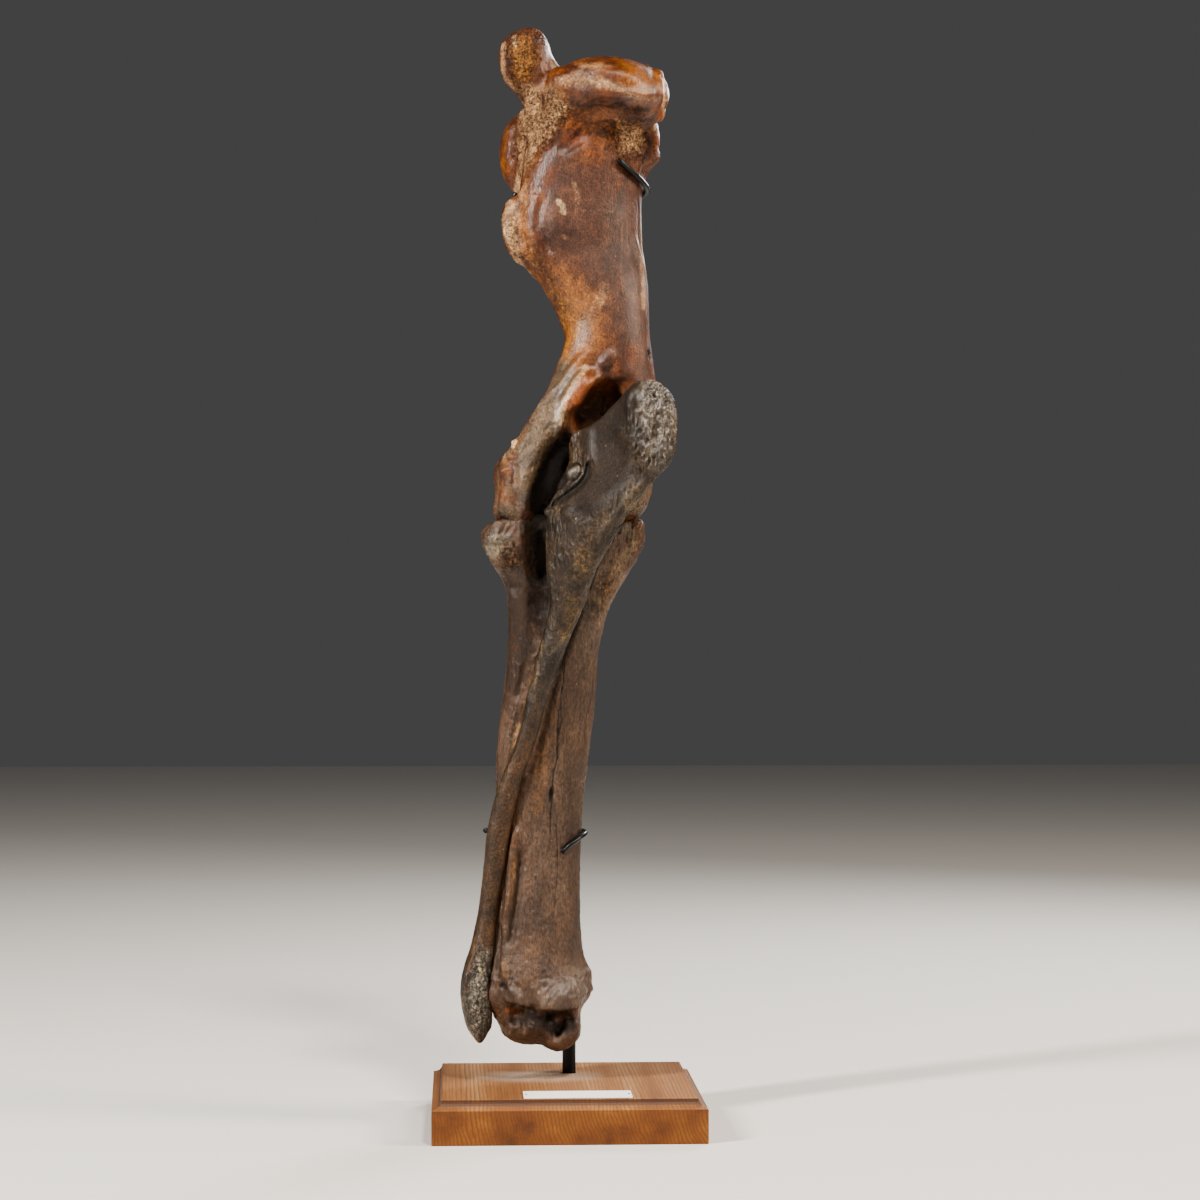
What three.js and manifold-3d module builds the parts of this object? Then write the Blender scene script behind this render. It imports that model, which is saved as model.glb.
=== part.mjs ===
// The left forelimb of a large steppe bison, mounted for display: humerus, ulna and radius stand on end,
// held by two bent steel claws on a steel post, which is let into a moulded wooden base.
// Millimetres, +Z up. The origin is the centre of the base's underside. +Y is the front of the limb, +X its
// inner side, and the whole limb is turned a little, so that its outer side also faces -Y.
import * as THREE from "three";
import { mergeVertices } from "three/addons/utils/BufferGeometryUtils.js";
import Module from "manifold-3d";

const wasm = await Module();
wasm.setup();

// ---- Driving dimensions ----
const BASE_SIDE = 190;
const BASE_FACE_HEIGHT = 24; // the upright face below the moulding
const COVE = 6.5; // radius of the moulding cut round the top edge
const BASE_HEIGHT = BASE_FACE_HEIGHT + COVE;

const POST_DIAMETER = 10;
const POST_HOLE_DEPTH = 20;
const BORE_SIDES = 24;
const CLAW_DIAMETER = 4.5;

const LABEL = { length: 75, depth: 30, thickness: 0.6, at: [5.8, -72] };

const FIT_GAP = 0.3; // left between pieces that touch
const JOINT_SPACE = 0.9; // from the true roller of the elbow to the hollows it sits in; facets take up part

const rad = THREE.MathUtils.degToRad;

// ---- Forms ----
// A bone is a blend of rounded forms. A form is a function of x, y and z that gives the distance in mm to
// its surface, below 0 inside it.

/** An ellipsoid. turn is its rotation about X, Y and Z in degrees. */
function egg(at, radii, turn = [0, 0, 0]) {
  const m = new THREE.Matrix4()
    .makeRotationFromEuler(new THREE.Euler(...turn.map(rad), "ZYX"))
    .transpose().elements;
  const [a, b, c] = radii;
  return (x, y, z) => {
    const [dx, dy, dz] = [x - at[0], y - at[1], z - at[2]];
    const u = (m[0] * dx + m[4] * dy + m[8] * dz) / a;
    const v = (m[1] * dx + m[5] * dy + m[9] * dz) / b;
    const w = (m[2] * dx + m[6] * dy + m[10] * dz) / c;
    const k = Math.hypot(u, v, w);
    return (k * (k - 1)) / Math.max(Math.hypot(u / a, v / b, w / c), 1e-6);
  };
}

/** A rod with round ends between two points, its radius running from ra to rb. */
function bar(a, b, ra, rb = ra) {
  const d = b.map((v, i) => v - a[i]);
  const dd = d[0] ** 2 + d[1] ** 2 + d[2] ** 2;
  return (x, y, z) => {
    const [px, py, pz] = [x - a[0], y - a[1], z - a[2]];
    const t = Math.min(1, Math.max(0, (px * d[0] + py * d[1] + pz * d[2]) / dd));
    return Math.hypot(px - t * d[0], py - t * d[1], pz - t * d[2]) - (ra + t * (rb - ra));
  };
}

/** A ridge through several points, each [x, y, z, radius]. */
function ridge(points) {
  const bars = points
    .slice(1)
    .map((p, i) => bar(points[i].slice(0, 3), p.slice(0, 3), points[i][3], p[3]));
  return (x, y, z) => Math.min(...bars.map((f) => f(x, y, z)));
}

/** A turned roller between two points. radii are its radii at even steps from a to b. */
function roller(a, b, radii, edge = 5) {
  const axis = new THREE.Vector3(...b).sub(new THREE.Vector3(...a));
  const length = axis.length();
  axis.normalize();
  return (x, y, z) => {
    const [px, py, pz] = [x - a[0], y - a[1], z - a[2]];
    const along = px * axis.x + py * axis.y + pz * axis.z;
    const off = Math.sqrt(Math.max(0, px * px + py * py + pz * pz - along * along));
    const s = Math.min(0.9999, Math.max(0, along / length)) * (radii.length - 1);
    const i = Math.floor(s);
    const t = (1 - Math.cos((s - i) * Math.PI)) / 2;
    const side = off - (radii[i] * (1 - t) + radii[i + 1] * t);
    return -softMin(-side, -(Math.abs(along - length / 2) - length / 2), edge);
  };
}

/** A limb-like body through level oval sections, each [x, y, z, half width, half depth, turn in degrees],
 * listed from the bottom up. */
function trunk(sections) {
  const at = sampler(sections);
  const [low, high] = [sections[0][2], sections.at(-1)[2]];
  return (x, y, z) => {
    const [cx, cy, , a, b, turn] = at(z);
    const [c, s] = [Math.cos(rad(turn)), Math.sin(rad(turn))];
    const u = ((x - cx) * c + (y - cy) * s) / a;
    const v = (-(x - cx) * s + (y - cy) * c) / b;
    const k = Math.hypot(u, v);
    const side = (k * (k - 1)) / Math.max(Math.hypot(u / a, v / b), 1e-6);
    const end = Math.max(low - z, z - high);
    return end > 0 ? Math.hypot(Math.max(side, 0), end) : Math.max(side, end);
  };
}

/** Reads a row at any height from rows sorted by height (column 2), on a smooth curve through them. */
function sampler(rows) {
  const slope = rows.map((_, i) => {
    const [p, q] = [rows[Math.max(0, i - 1)], rows[Math.min(rows.length - 1, i + 1)]];
    return p.map((v, j) => (q[j] - v) / (q[2] - p[2]));
  });
  return (z) => {
    let i = 0;
    while (i < rows.length - 2 && rows[i + 1][2] < z) i++;
    const [p, q] = [rows[i], rows[i + 1]];
    const h = q[2] - p[2];
    const t = Math.min(1, Math.max(0, (z - p[2]) / h));
    const [a, b] = [t * t * (3 - 2 * t), t * (1 - t) * h];
    return p.map((v, j) => v + a * (q[j] - v) + b * ((1 - t) * slope[i][j] - t * slope[i + 1][j]));
  };
}

function softMin(a, b, k) {
  const h = Math.max(k - Math.abs(a - b), 0) / k;
  return Math.min(a, b) - (h * h * k) / 4;
}

/** Adds each [form, softness] to the first form. A form with "cut" after it is taken away instead. */
function blend(first, ...rest) {
  return (x, y, z) => {
    let f = first(x, y, z);
    for (const [form, softness, cut] of rest)
      f = cut ? -softMin(-f, form(x, y, z), softness) : softMin(f, form(x, y, z), softness);
    return f;
  };
}

const grown = (form, by) => (x, y, z) => form(x, y, z) - by;

// ---- Skin ----
// The skin of a form is found by walking in along rays towards the marrow line, ring by ring, until the
// form's surface is met. The rings then even themselves out over the surface.

const REACH = 150; // where the rays start, from the marrow
const SHORTEST_STEP = 0.4;
const SAFE_SHARE = 0.4; // of the distance read, because a blend reads a little long
const HALVINGS = 12; // that place the surface inside the last step
const EVENING_ROUNDS = 14;

/** The closed surface where form equals level. marrow is a list of sections, as a trunk's, inside it. */
function skin(form, marrow, { rings, around, capRings, level = 0 }) {
  const at = sampler(marrow);
  const [low, high] = [marrow[0][2], marrow.at(-1)[2]];
  const rays = [];
  const fan = (z, lift) => {
    const [x, y, , a, b, turn] = at(z);
    const [c, s] = [Math.cos(rad(turn)), Math.sin(rad(turn))];
    return Array.from({ length: around }, (_, j) => {
      const angle = (2 * Math.PI * j) / around;
      const flat = new THREE.Vector2(a * Math.cos(angle), b * Math.sin(angle)).normalize();
      const out = new THREE.Vector3(c * flat.x - s * flat.y, s * flat.x + c * flat.y, 0);
      out.multiplyScalar(Math.cos(lift)).setZ(Math.sin(lift));
      return { from: new THREE.Vector3(x, y, z), out };
    });
  };
  const tilt = (i) => (Math.PI / 2) * (i / (capRings + 1));
  rays.push({ from: fan(low, 0)[0].from, out: new THREE.Vector3(0, 0, -1) });
  for (let i = capRings; i > 0; i--) rays.push(...fan(low, -tilt(i)));
  for (let i = 0; i < rings; i++) rays.push(...fan(low + ((high - low) * i) / (rings - 1), 0));
  for (let i = 1; i <= capRings; i++) rays.push(...fan(high, tilt(i)));
  rays.push({ from: fan(high, 0)[0].from, out: new THREE.Vector3(0, 0, 1) });

  const value = (p) => form(p.x, p.y, p.z) - level;
  const points = rays.map(({ from, out }) => {
    let far = REACH;
    let near = REACH;
    const p = new THREE.Vector3();
    const here = (t) => value(p.copy(from).addScaledVector(out, t));
    for (let f = here(near); f > 0 && near > 1; f = here(near)) {
      far = near;
      near -= Math.max(SHORTEST_STEP, f * SAFE_SHARE);
    }
    for (let i = 0; i < HALVINGS; i++) {
      const mid = (near + far) / 2;
      if (here(mid) > 0) far = mid;
      else near = mid;
    }
    return from.clone().addScaledVector(out, (near + far) / 2);
  });

  const faces = [];
  const total = rings + 2 * capRings;
  const vertex = (r, j) => 1 + r * around + (j % around);
  for (let j = 0; j < around; j++) {
    faces.push([0, vertex(0, j + 1), vertex(0, j)]);
    faces.push([points.length - 1, vertex(total - 1, j), vertex(total - 1, j + 1)]);
    for (let r = 0; r < total - 1; r++) {
      faces.push([vertex(r, j), vertex(r, j + 1), vertex(r + 1, j + 1)]);
      faces.push([vertex(r, j), vertex(r + 1, j + 1), vertex(r + 1, j)]);
    }
  }
  evenOut(points, faces, value);
  const geometry = new THREE.BufferGeometry().setFromPoints(points);
  geometry.setIndex(faces.flat());
  return geometry;
}

/** Slides each point along the surface towards the middle of its neighbours. */
function evenOut(points, faces, value) {
  const near = points.map(() => new Set());
  for (const [a, b, c] of faces) {
    near[a].add(b).add(c);
    near[b].add(a).add(c);
    near[c].add(a).add(b);
  }
  const slopeAt = (p) => {
    const e = 0.2;
    const f = (dx, dy, dz) => value(new THREE.Vector3(p.x + dx, p.y + dy, p.z + dz));
    return new THREE.Vector3(
      f(e, 0, 0) - f(-e, 0, 0),
      f(0, e, 0) - f(0, -e, 0),
      f(0, 0, e) - f(0, 0, -e),
    ).divideScalar(2 * e);
  };
  const share = 0.5; // of the way, each round
  for (let round = 0; round < EVENING_ROUNDS; round++) {
    const moved = points.map((p, i) => {
      const middle = new THREE.Vector3();
      for (const n of near[i]) middle.add(points[n]);
      const slide = middle.divideScalar(near[i].size).sub(p);
      const normal = slopeAt(p).normalize();
      slide.addScaledVector(normal, -slide.dot(normal));
      const q = p.clone().addScaledVector(slide, share);
      const slope = slopeAt(q);
      return q.addScaledVector(slope, -value(q) / Math.max(slope.lengthSq(), 0.05));
    });
    moved.forEach((q, i) => points[i].copy(q));
  }
}

// ---- Solids ----
function toSolid(geometry) {
  const bare = geometry.clone();
  for (const name of ["normal", "uv"]) bare.deleteAttribute(name);
  const merged = mergeVertices(bare, 1e-4);
  return new wasm.Manifold(
    new wasm.Mesh({
      numProp: 3,
      vertProperties: new Float32Array(merged.attributes.position.array),
      triVerts: new Uint32Array(merged.index.array),
    }),
  );
}

function toGeometry(solid) {
  const mesh = solid.getMesh();
  const geometry = new THREE.BufferGeometry();
  geometry.setAttribute("position", new THREE.BufferAttribute(mesh.vertProperties, 3));
  geometry.setIndex(new THREE.BufferAttribute(mesh.triVerts, 1));
  return geometry;
}

/** Cuts the tools away and keeps the largest body that is left. */
function trim(geometry, ...tools) {
  let solid = toSolid(geometry);
  for (const tool of tools) solid = solid.subtract(toSolid(tool));
  const bodies = solid.decompose().sort((a, b) => b.volume() - a.volume());
  return toGeometry(bodies[0]);
}

// ---- Humerus ----
// The roller-shaped elbow joint at its foot, the domed head and the tall greater tubercle at its top.
const elbowRoller = roller([-48, -9, 459], [58, 19, 456], [21, 26, 25, 24, 28, 28, 21], 7);

const humerusTrunk = [
  [5, 7, 448, 46, 22, 15],
  [10, 8, 470, 46, 23, 15],
  [16, 9, 492, 44, 24, 12],
  [24, 9, 514, 41, 26, 8],
  [28, 10, 535, 36, 27, 4],
  [31.5, 11, 559, 30.5, 28, 0],
  [27.5, 12, 580, 33.5, 28, 0],
  [20, 15, 606, 40, 29, 4],
  [11, 18, 628, 46.5, 30, 8],
  [10, 19, 645, 47, 31, 10],
  [11, 21, 664, 46, 32, 12],
  [14, 23, 684, 46, 34, 15],
  [17, 25, 702, 46, 37, 18],
  [19, 26, 716, 44, 36, 18],
];

const humerusForm = blend(
  trunk(humerusTrunk),
  [egg([29, 3, 737], [45, 39, 28.5]), 8], // head
  [bar([3, 2, 738], [55, 6, 740], 16, 19), 6],
  [ridge([[-25, 27, 760, 16], [-14, 26, 735, 15], [-4, 24, 705, 20]]), 8], // greater tubercle
  [egg([-28, 26, 767], [19.5, 19, 26], [0, -4, 0]), 4],
  [egg([-22, 50, 702], [25, 24, 34]), 10], // its front part, over the biceps groove
  [egg([52, 34, 712], [18, 20, 28]), 8], // lesser tubercle
  [egg([65, 26, 698], [9, 9, 9]), 5],
  [egg([-36, 13, 640], [9, 12, 26], [0, -10, 0]), 5], // deltoid tuberosity
  [ridge([[18, 2, 560, 14], [2, -6, 520, 15], [-18, -12, 490, 15], [-33, -12, 460, 15]]), 10], // outer column
  [ridge([[46, 8, 545, 13], [51, 6, 500, 14], [50, 4, 462, 14]]), 10], // inner column
  [elbowRoller, 5],
  [bar([0, -42, 706], [62, -38, 708], 13), 5, "cut"], // hollow under the rim of the head
  [egg([24, -16, 503], [17, 30, 30], [0, 14, 0]), 6, "cut"], // olecranon fossa
  [egg([14, 44, 500], [20, 12, 17]), 8, "cut"], // fossa above the roller in front
  [bar([16, 82, 780], [14, 70, 690], 16, 14), 8, "cut"], // biceps groove
);

const humerusSkin = (level) =>
  skin(
    humerusForm,
    [
      [6, 14, 458, 44, 24, 15],
      [13, 20, 480, 42, 26, 15],
      [22, 22, 505, 34, 24, 8],
      [32, 12, 533, 31, 28, 0],
      [30, 12, 570, 30, 28, 0],
      [16, 18, 628, 40, 30, 5],
      [10, 24, 690, 40, 34, 15],
      [2, 25, 716, 43, 38, 18],
    ],
    { rings: 28, around: 36, capRings: 10, level },
  );

// ---- Radius ----
// Flattened from front to back, flared at the elbow and again at the wrist.
const radiusTrunk = [
  [-17, 1, 64, 27, 17, 8],
  [-18.5, 0, 80, 30, 21, 8],
  [-19, 0, 98, 37, 26, 8],
  [-21, 2, 123, 34, 23, 8],
  [-21, 6, 159, 32, 21, 8],
  [-19.5, 9, 194, 31, 19, 8],
  [-18.5, 11, 230, 32, 19, 8],
  [-16, 11, 266, 34, 19, 8],
  [-11.5, 10, 302, 34, 19, 8],
  [-9, 8, 336, 33.5, 20, 8],
  [-4.8, 6, 369, 37.5, 21, 10],
  [-1.5, 6, 385, 43.5, 22, 12],
  [-1, 6, 401, 53, 24, 14],
  [-2, 6, 414, 59, 27, 15],
  [-1, 6, 436, 55, 28, 15],
];

const radiusForm = blend(
  trunk(radiusTrunk),
  [egg([-47, -12, 413], [14, 13, 12], [0, -20, 0]), 5], // outer tuberosity
  [egg([47, 18, 421], [10, 14, 13]), 5], // inner tuberosity
  [egg([-5, 2, 66], [15, 17, 15]), 6], // wrist facets
  [egg([-27, 2, 70], [18, 17, 14]), 6],
  [ridge([[-50, -8, 96, 7], [-20, -20, 94, 7], [8, -19, 96, 7]]), 6], // ridge above the facets behind
  [egg([-32, -20, 77], [9, 10, 7]), 4, "cut"],
  [egg([-4, -20, 74], [10, 10, 8]), 4, "cut"],
  [grown(elbowRoller, JOINT_SPACE), 2, "cut"],
);

const radiusSkin = (level) =>
  skin(radiusForm, radiusTrunk.slice(1, -1), { rings: 32, around: 26, capRings: 5, level });

// ---- Ulna ----
// The broad leaning plate of the olecranon behind the elbow, its shaft tapering down across the back of
// the radius, and the pointed end at the wrist.
const ulnaTrunk = [
  [-61, -8, 62, 5, 5, 0],
  [-62, -8, 71, 9.5, 8, 0],
  [-63.7, -7, 88, 11.5, 11, 0],
  [-63, -6, 105, 11.5, 11, 0],
  [-59.5, -5, 124, 9.5, 10, 0],
  [-55.5, -4, 148, 8, 9, 0],
  [-51, -4, 180, 8, 9, 0],
  [-47, -5, 212, 8.5, 9, 0],
  [-40, -8, 242, 8, 8, 0],
  [-28, -13, 276, 7, 7, 0],
  [-19, -16, 310, 8, 8, -10],
  [-8, -21, 345, 10, 9, -20],
  [1, -26, 373, 13, 11, -30],
  [3, -33, 395, 21, 12, -42],
  [8, -38, 415, 29, 13, -42],
  [16, -43, 440, 38, 13.5, -42],
  [25, -44, 455, 43, 13.5, -42],
  [33, -45, 470, 47, 13.5, -42],
  [37, -45, 490, 50, 13, -42],
  [46, -52, 505, 38, 13, -42],
  [51, -55, 516, 27, 12, -42],
];

const ulnaForm = blend(
  trunk(ulnaTrunk),
  [ridge([[54, -58, 511, 17], [58, -60, 480, 17]]), 6], // tuber of the olecranon
  [ridge([[10, -16, 470, 7], [-6, -22, 448, 7]]), 4], // lip beside the notch for the roller
  [grown(elbowRoller, JOINT_SPACE), 2, "cut"],
);

const ulnaSkin = skin(ulnaForm, ulnaTrunk.slice(1, -1), { rings: 42, around: 18, capRings: 3 });

// ---- Stand ----
/** A round steel rod along a curve. */
function rod(curve, diameter, sides, steps) {
  const outline = new THREE.Shape().absarc(0, 0, diameter / 2, 0, 2 * Math.PI);
  return new THREE.ExtrudeGeometry(outline, {
    curveSegments: sides / 2,
    steps,
    bevelEnabled: false,
    extrudePath: curve,
  });
}

/** The point at an angle and height round a centre line where a form is a given distance away. */
function beside(form, [x, y], angle, z, clearance) {
  const [c, s] = [Math.cos(rad(angle)), Math.sin(rad(angle))];
  const step = 0.05;
  let t = 1;
  while (form(x + c * t, y + s * t, z) < clearance) t += step;
  return new THREE.Vector3(x + c * t, y + s * t, z);
}

const CLAW_LIFT = CLAW_DIAMETER / 2 + 0.75; // from the bone to the middle of the bar
const POST_TO_CLAW = (POST_DIAMETER + CLAW_DIAMETER) / 2 + FIT_GAP;

/** The middle line of a claw, a bar bent half round a bone. Each turn is an angle round the bone and a height,
 * from the end of the inner prong, past the post, to the end of the outer prong. */
function clawCurve(form, centre, turns) {
  const points = turns.map(([angle, z]) => beside(form, centre, angle, z, CLAW_LIFT));
  return new THREE.CatmullRomCurve3(points);
}

const upperClaw = clawCurve(humerusForm, [14, 22], [
  [-52, 690],
  [-40, 685],
  [-26, 680],
  [-12, 676],
  [5, 673],
  [25, 670],
  [45, 668],
  [65, 667],
  [85, 666],
  [105, 666],
  [125, 666],
  [145, 666],
  [165, 667],
  [180, 669],
]);

const forearmForm = (x, y, z) => Math.min(radiusForm(x, y, z), ulnaForm(x, y, z));
const lowerClaw = clawCurve(forearmForm, [-18, 8], [
  [-48, 194],
  [-34, 199],
  [-18, 203],
  [0, 206],
  [20, 207],
  [38, 207],
  [56, 207],
  [75, 207],
  [95, 207],
  [115, 207],
  [135, 207],
  [155, 207],
  [175, 208],
  [190, 209],
]);

/** Where the post's middle line stands to touch a claw at the given x, in front of it. */
function postBeside(claw, x) {
  let best;
  const [from, to, step] = [0.2, 0.8, 0.002]; // the middle stretch of the claw
  for (let u = from; u < to; u += step) {
    const along = claw.getTangent(u);
    const out = new THREE.Vector3(along.y, -along.x, 0).normalize();
    if (out.y < 0) out.negate();
    const centre = claw.getPoint(u).addScaledVector(out, POST_TO_CLAW);
    if (!best || Math.abs(centre.x - x) < Math.abs(best.x - x)) best = centre;
  }
  return best;
}

const POST_FOOT_X = 4;
const POST_HEAD_X = 17;
const POST_OVER_CLAW = 8; // the post ends this much above the middle of the upper claw
const postLow = postBeside(lowerClaw, POST_FOOT_X);
const postHigh = postBeside(upperClaw, POST_HEAD_X);

// Upright from the base past the lower claw, then bent forward round the elbow and upright again.
const postPath = [
  [postLow.x, postLow.y, BASE_HEIGHT - POST_HOLE_DEPTH + FIT_GAP],
  [postLow.x, postLow.y, 120],
  [postLow.x, postLow.y, postLow.z],
  [postLow.x, postLow.y, 280],
  [8, 38.5, 350],
  [13, 46, 430],
  [16, 55, 530],
  [postHigh.x, postHigh.y, 630],
  [postHigh.x, postHigh.y, postHigh.z],
  [postHigh.x, postHigh.y, postHigh.z + POST_OVER_CLAW],
].map((p) => new THREE.Vector3(...p));

/** A square block with a hollow moulding cut round its top edge and a hole for the post. */
function plinth() {
  const half = (BASE_SIDE / 2) * Math.SQRT2;
  const inset = COVE * Math.SQRT2;
  const coveSteps = 5;
  const profile = [new THREE.Vector2(0, 0), new THREE.Vector2(half, 0)];
  for (let i = 0; i <= coveSteps; i++) {
    const a = (Math.PI / 2) * (i / coveSteps);
    const across = half - inset * Math.sin(a);
    profile.push(new THREE.Vector2(across, BASE_HEIGHT - COVE * Math.cos(a)));
  }
  profile.push(new THREE.Vector2(0, BASE_HEIGHT));
  const block = new THREE.LatheGeometry(profile, 4).rotateX(Math.PI / 2).rotateZ(Math.PI / 4);
  const bore = POST_DIAMETER / 2 + FIT_GAP;
  const over = 5;
  const hole = new THREE.CylinderGeometry(bore, bore, POST_HOLE_DEPTH + over, BORE_SIDES)
    .rotateX(Math.PI / 2)
    .translate(postLow.x, postLow.y, BASE_HEIGHT + (over - POST_HOLE_DEPTH) / 2);
  return trim(block, hole);
}

function labelCard() {
  const { length, depth, thickness, at } = LABEL;
  const card = new THREE.BoxGeometry(length, depth, thickness);
  return card.translate(at[0], at[1], BASE_HEIGHT + FIT_GAP + thickness / 2);
}

// ---- Pieces ----
const part = new THREE.Group();

function add(name, geometry, color, roughness, metalness = 0) {
  const material = new THREE.MeshStandardMaterial({ color, roughness, metalness });
  const mesh = new THREE.Mesh(geometry, material);
  mesh.name = name;
  part.add(mesh);
}

add("humerus", humerusSkin(0), 0x6e3c24, 0.35);
add("radius", trim(radiusSkin(0), humerusSkin(FIT_GAP)), 0x5e4030, 0.5);
add("ulna", trim(ulnaSkin, radiusSkin(FIT_GAP), humerusSkin(FIT_GAP)), 0x4a4138, 0.5);
add("steel_post", rod(new THREE.CatmullRomCurve3(postPath), POST_DIAMETER, 14, 26), 0x1c1c1e, 0.45, 0.6);
add("upper_claw", rod(upperClaw, CLAW_DIAMETER, 8, 32), 0x1c1c1e, 0.45, 0.6);
add("lower_claw", rod(lowerClaw, CLAW_DIAMETER, 8, 32), 0x1c1c1e, 0.45, 0.6);
add("base", plinth(), 0xb07040, 0.5);
add("label", labelCard(), 0xf1eee6, 0.6);

export default part;
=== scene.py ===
"""A bison's left foreleg bones on a steel post and a moulded wooden base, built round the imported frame."""
import math

import bmesh
import bpy
import numpy as np
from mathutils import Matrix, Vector, noise
from mathutils.bvhtree import BVHTree


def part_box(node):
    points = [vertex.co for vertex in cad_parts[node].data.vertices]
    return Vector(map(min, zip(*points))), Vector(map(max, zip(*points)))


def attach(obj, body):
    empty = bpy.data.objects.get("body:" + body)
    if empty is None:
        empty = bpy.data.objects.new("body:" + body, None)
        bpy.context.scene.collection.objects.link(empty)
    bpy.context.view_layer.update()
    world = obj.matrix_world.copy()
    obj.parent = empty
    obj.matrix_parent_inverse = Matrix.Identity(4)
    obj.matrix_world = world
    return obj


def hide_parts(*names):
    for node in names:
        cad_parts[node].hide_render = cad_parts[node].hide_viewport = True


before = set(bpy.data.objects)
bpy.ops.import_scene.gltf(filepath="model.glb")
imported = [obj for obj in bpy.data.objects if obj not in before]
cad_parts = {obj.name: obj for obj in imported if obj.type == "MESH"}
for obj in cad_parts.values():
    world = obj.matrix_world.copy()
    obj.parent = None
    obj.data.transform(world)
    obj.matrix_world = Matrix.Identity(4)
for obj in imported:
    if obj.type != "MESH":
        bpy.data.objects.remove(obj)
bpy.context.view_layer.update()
MM = 0.001

# ---- View ----
# A long lens at the height of the elbow, a little to the left of the middle,
# looking slightly upwards, so that the base is seen just from above.
LENS_MM = 88.6
SENSOR_MM = 36.0
EYE = (-0.076, -2.118, 0.3455)
EYE_TILT_DEG = 90.776
EYE_TURN_DEG = -2.724

lens = bpy.data.cameras.new("camera")
lens.lens = LENS_MM
lens.sensor_width = SENSOR_MM
lens.sensor_fit = "HORIZONTAL"
lens.clip_end = 20.0
camera = bpy.data.objects.new("camera", lens)
camera.location = EYE
camera.rotation_euler = (math.radians(EYE_TILT_DEG), 0.0, math.radians(EYE_TURN_DEG))
bpy.context.collection.objects.link(camera)
bpy.context.scene.camera = camera

# ---- Humerus ----
# The upper arm bone: a heavy shaft with a domed head and a tall outer tubercle on top, and a
# roller with a deep pit behind it at the elbow. It is permineralised bone, dug up, cleaned and
# varnished, so its sound shell is red-brown and glossy and its broken ends are tan and spongy.
HUMERUS_CELL_MM = 1.25
WELD_MM = 0.01
CAGE_ROUNDS = 3
FIRST_SMOOTHING = 4
EYE_FROM_MM = 800.0
FINEST_STEP_MM = 0.6
PARED_SHARE = 0.9  # of the way back to the curve
SMOOTH_CALMS = 0.88  # the share of small unevenness that a smooth finish takes away
STAND_OFF_MM = 0.35

# Lines and outlines are drawn flat on one side of a bone, as "across,up" pairs in mm. Each side
# gives the axis that runs across and the one that runs up, and the way the eye looks.
SIDES = {
    "rear": (0, 2, (0, 1, 0)),
    "front": (0, 2, (0, -1, 0)),
    "outer": (1, 2, (1, 0, 0)),
    "inner": (1, 2, (-1, 0, 0)),
    "top": (0, 1, (0, 0, -1)),
    "under": (0, 1, (0, 0, 1)),
}


def corners_of(line):
    """The corners of a line or outline, one row each."""
    return np.array([corner.split(",") for corner in line.split()], float)


def welded(cad):
    """A CAD solid's mesh to work on, with the points that its faces share joined."""
    work = bmesh.new()
    work.from_mesh(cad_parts[cad].data)
    bmesh.ops.remove_doubles(work, verts=work.verts, dist=WELD_MM * MM)
    return work


def make_object(work, name):
    """Ends the work on a mesh and stands it in the scene as an object."""
    mesh = bpy.data.meshes.new(name)
    work.to_mesh(mesh)
    work.free()
    made = bpy.data.objects.new(name, mesh)
    bpy.context.collection.objects.link(made)
    return made


def apply_modifiers(piece):
    """Replaces an object's mesh by what its modifiers make of it."""
    bpy.context.view_layer.update()
    name = piece.data.name
    shape = piece.evaluated_get(bpy.context.evaluated_depsgraph_get())
    piece.data = bpy.data.meshes.new_from_object(shape)
    piece.data.name = name
    piece.modifiers.clear()


def even_skin(name, cad, cell):
    """The CAD bone's surface, rounded but still through the CAD's own points, in even small squares."""
    piece = make_object(welded(cad), name)
    mesh = piece.data
    rounding = piece.modifiers.new("rounding", "SUBSURF")
    rounding.levels = rounding.render_levels = 2
    wanted = np.array([v.co for v in mesh.vertices])
    cage = wanted.copy()
    for _ in range(CAGE_ROUNDS):  # rounding draws the points in, so the cage is pushed out by as much
        bpy.context.view_layer.update()
        rounded = piece.evaluated_get(bpy.context.evaluated_depsgraph_get()).to_mesh()
        cage += wanted - np.array([v.co for v in rounded.vertices[:len(wanted)]])
        mesh.vertices.foreach_set("co", cage.astype(np.float32).ravel())
        mesh.update()
    evening = piece.modifiers.new("evening", "REMESH")
    evening.mode = "VOXEL"
    evening.voxel_size = cell * MM
    apply_modifiers(piece)
    return piece


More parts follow.
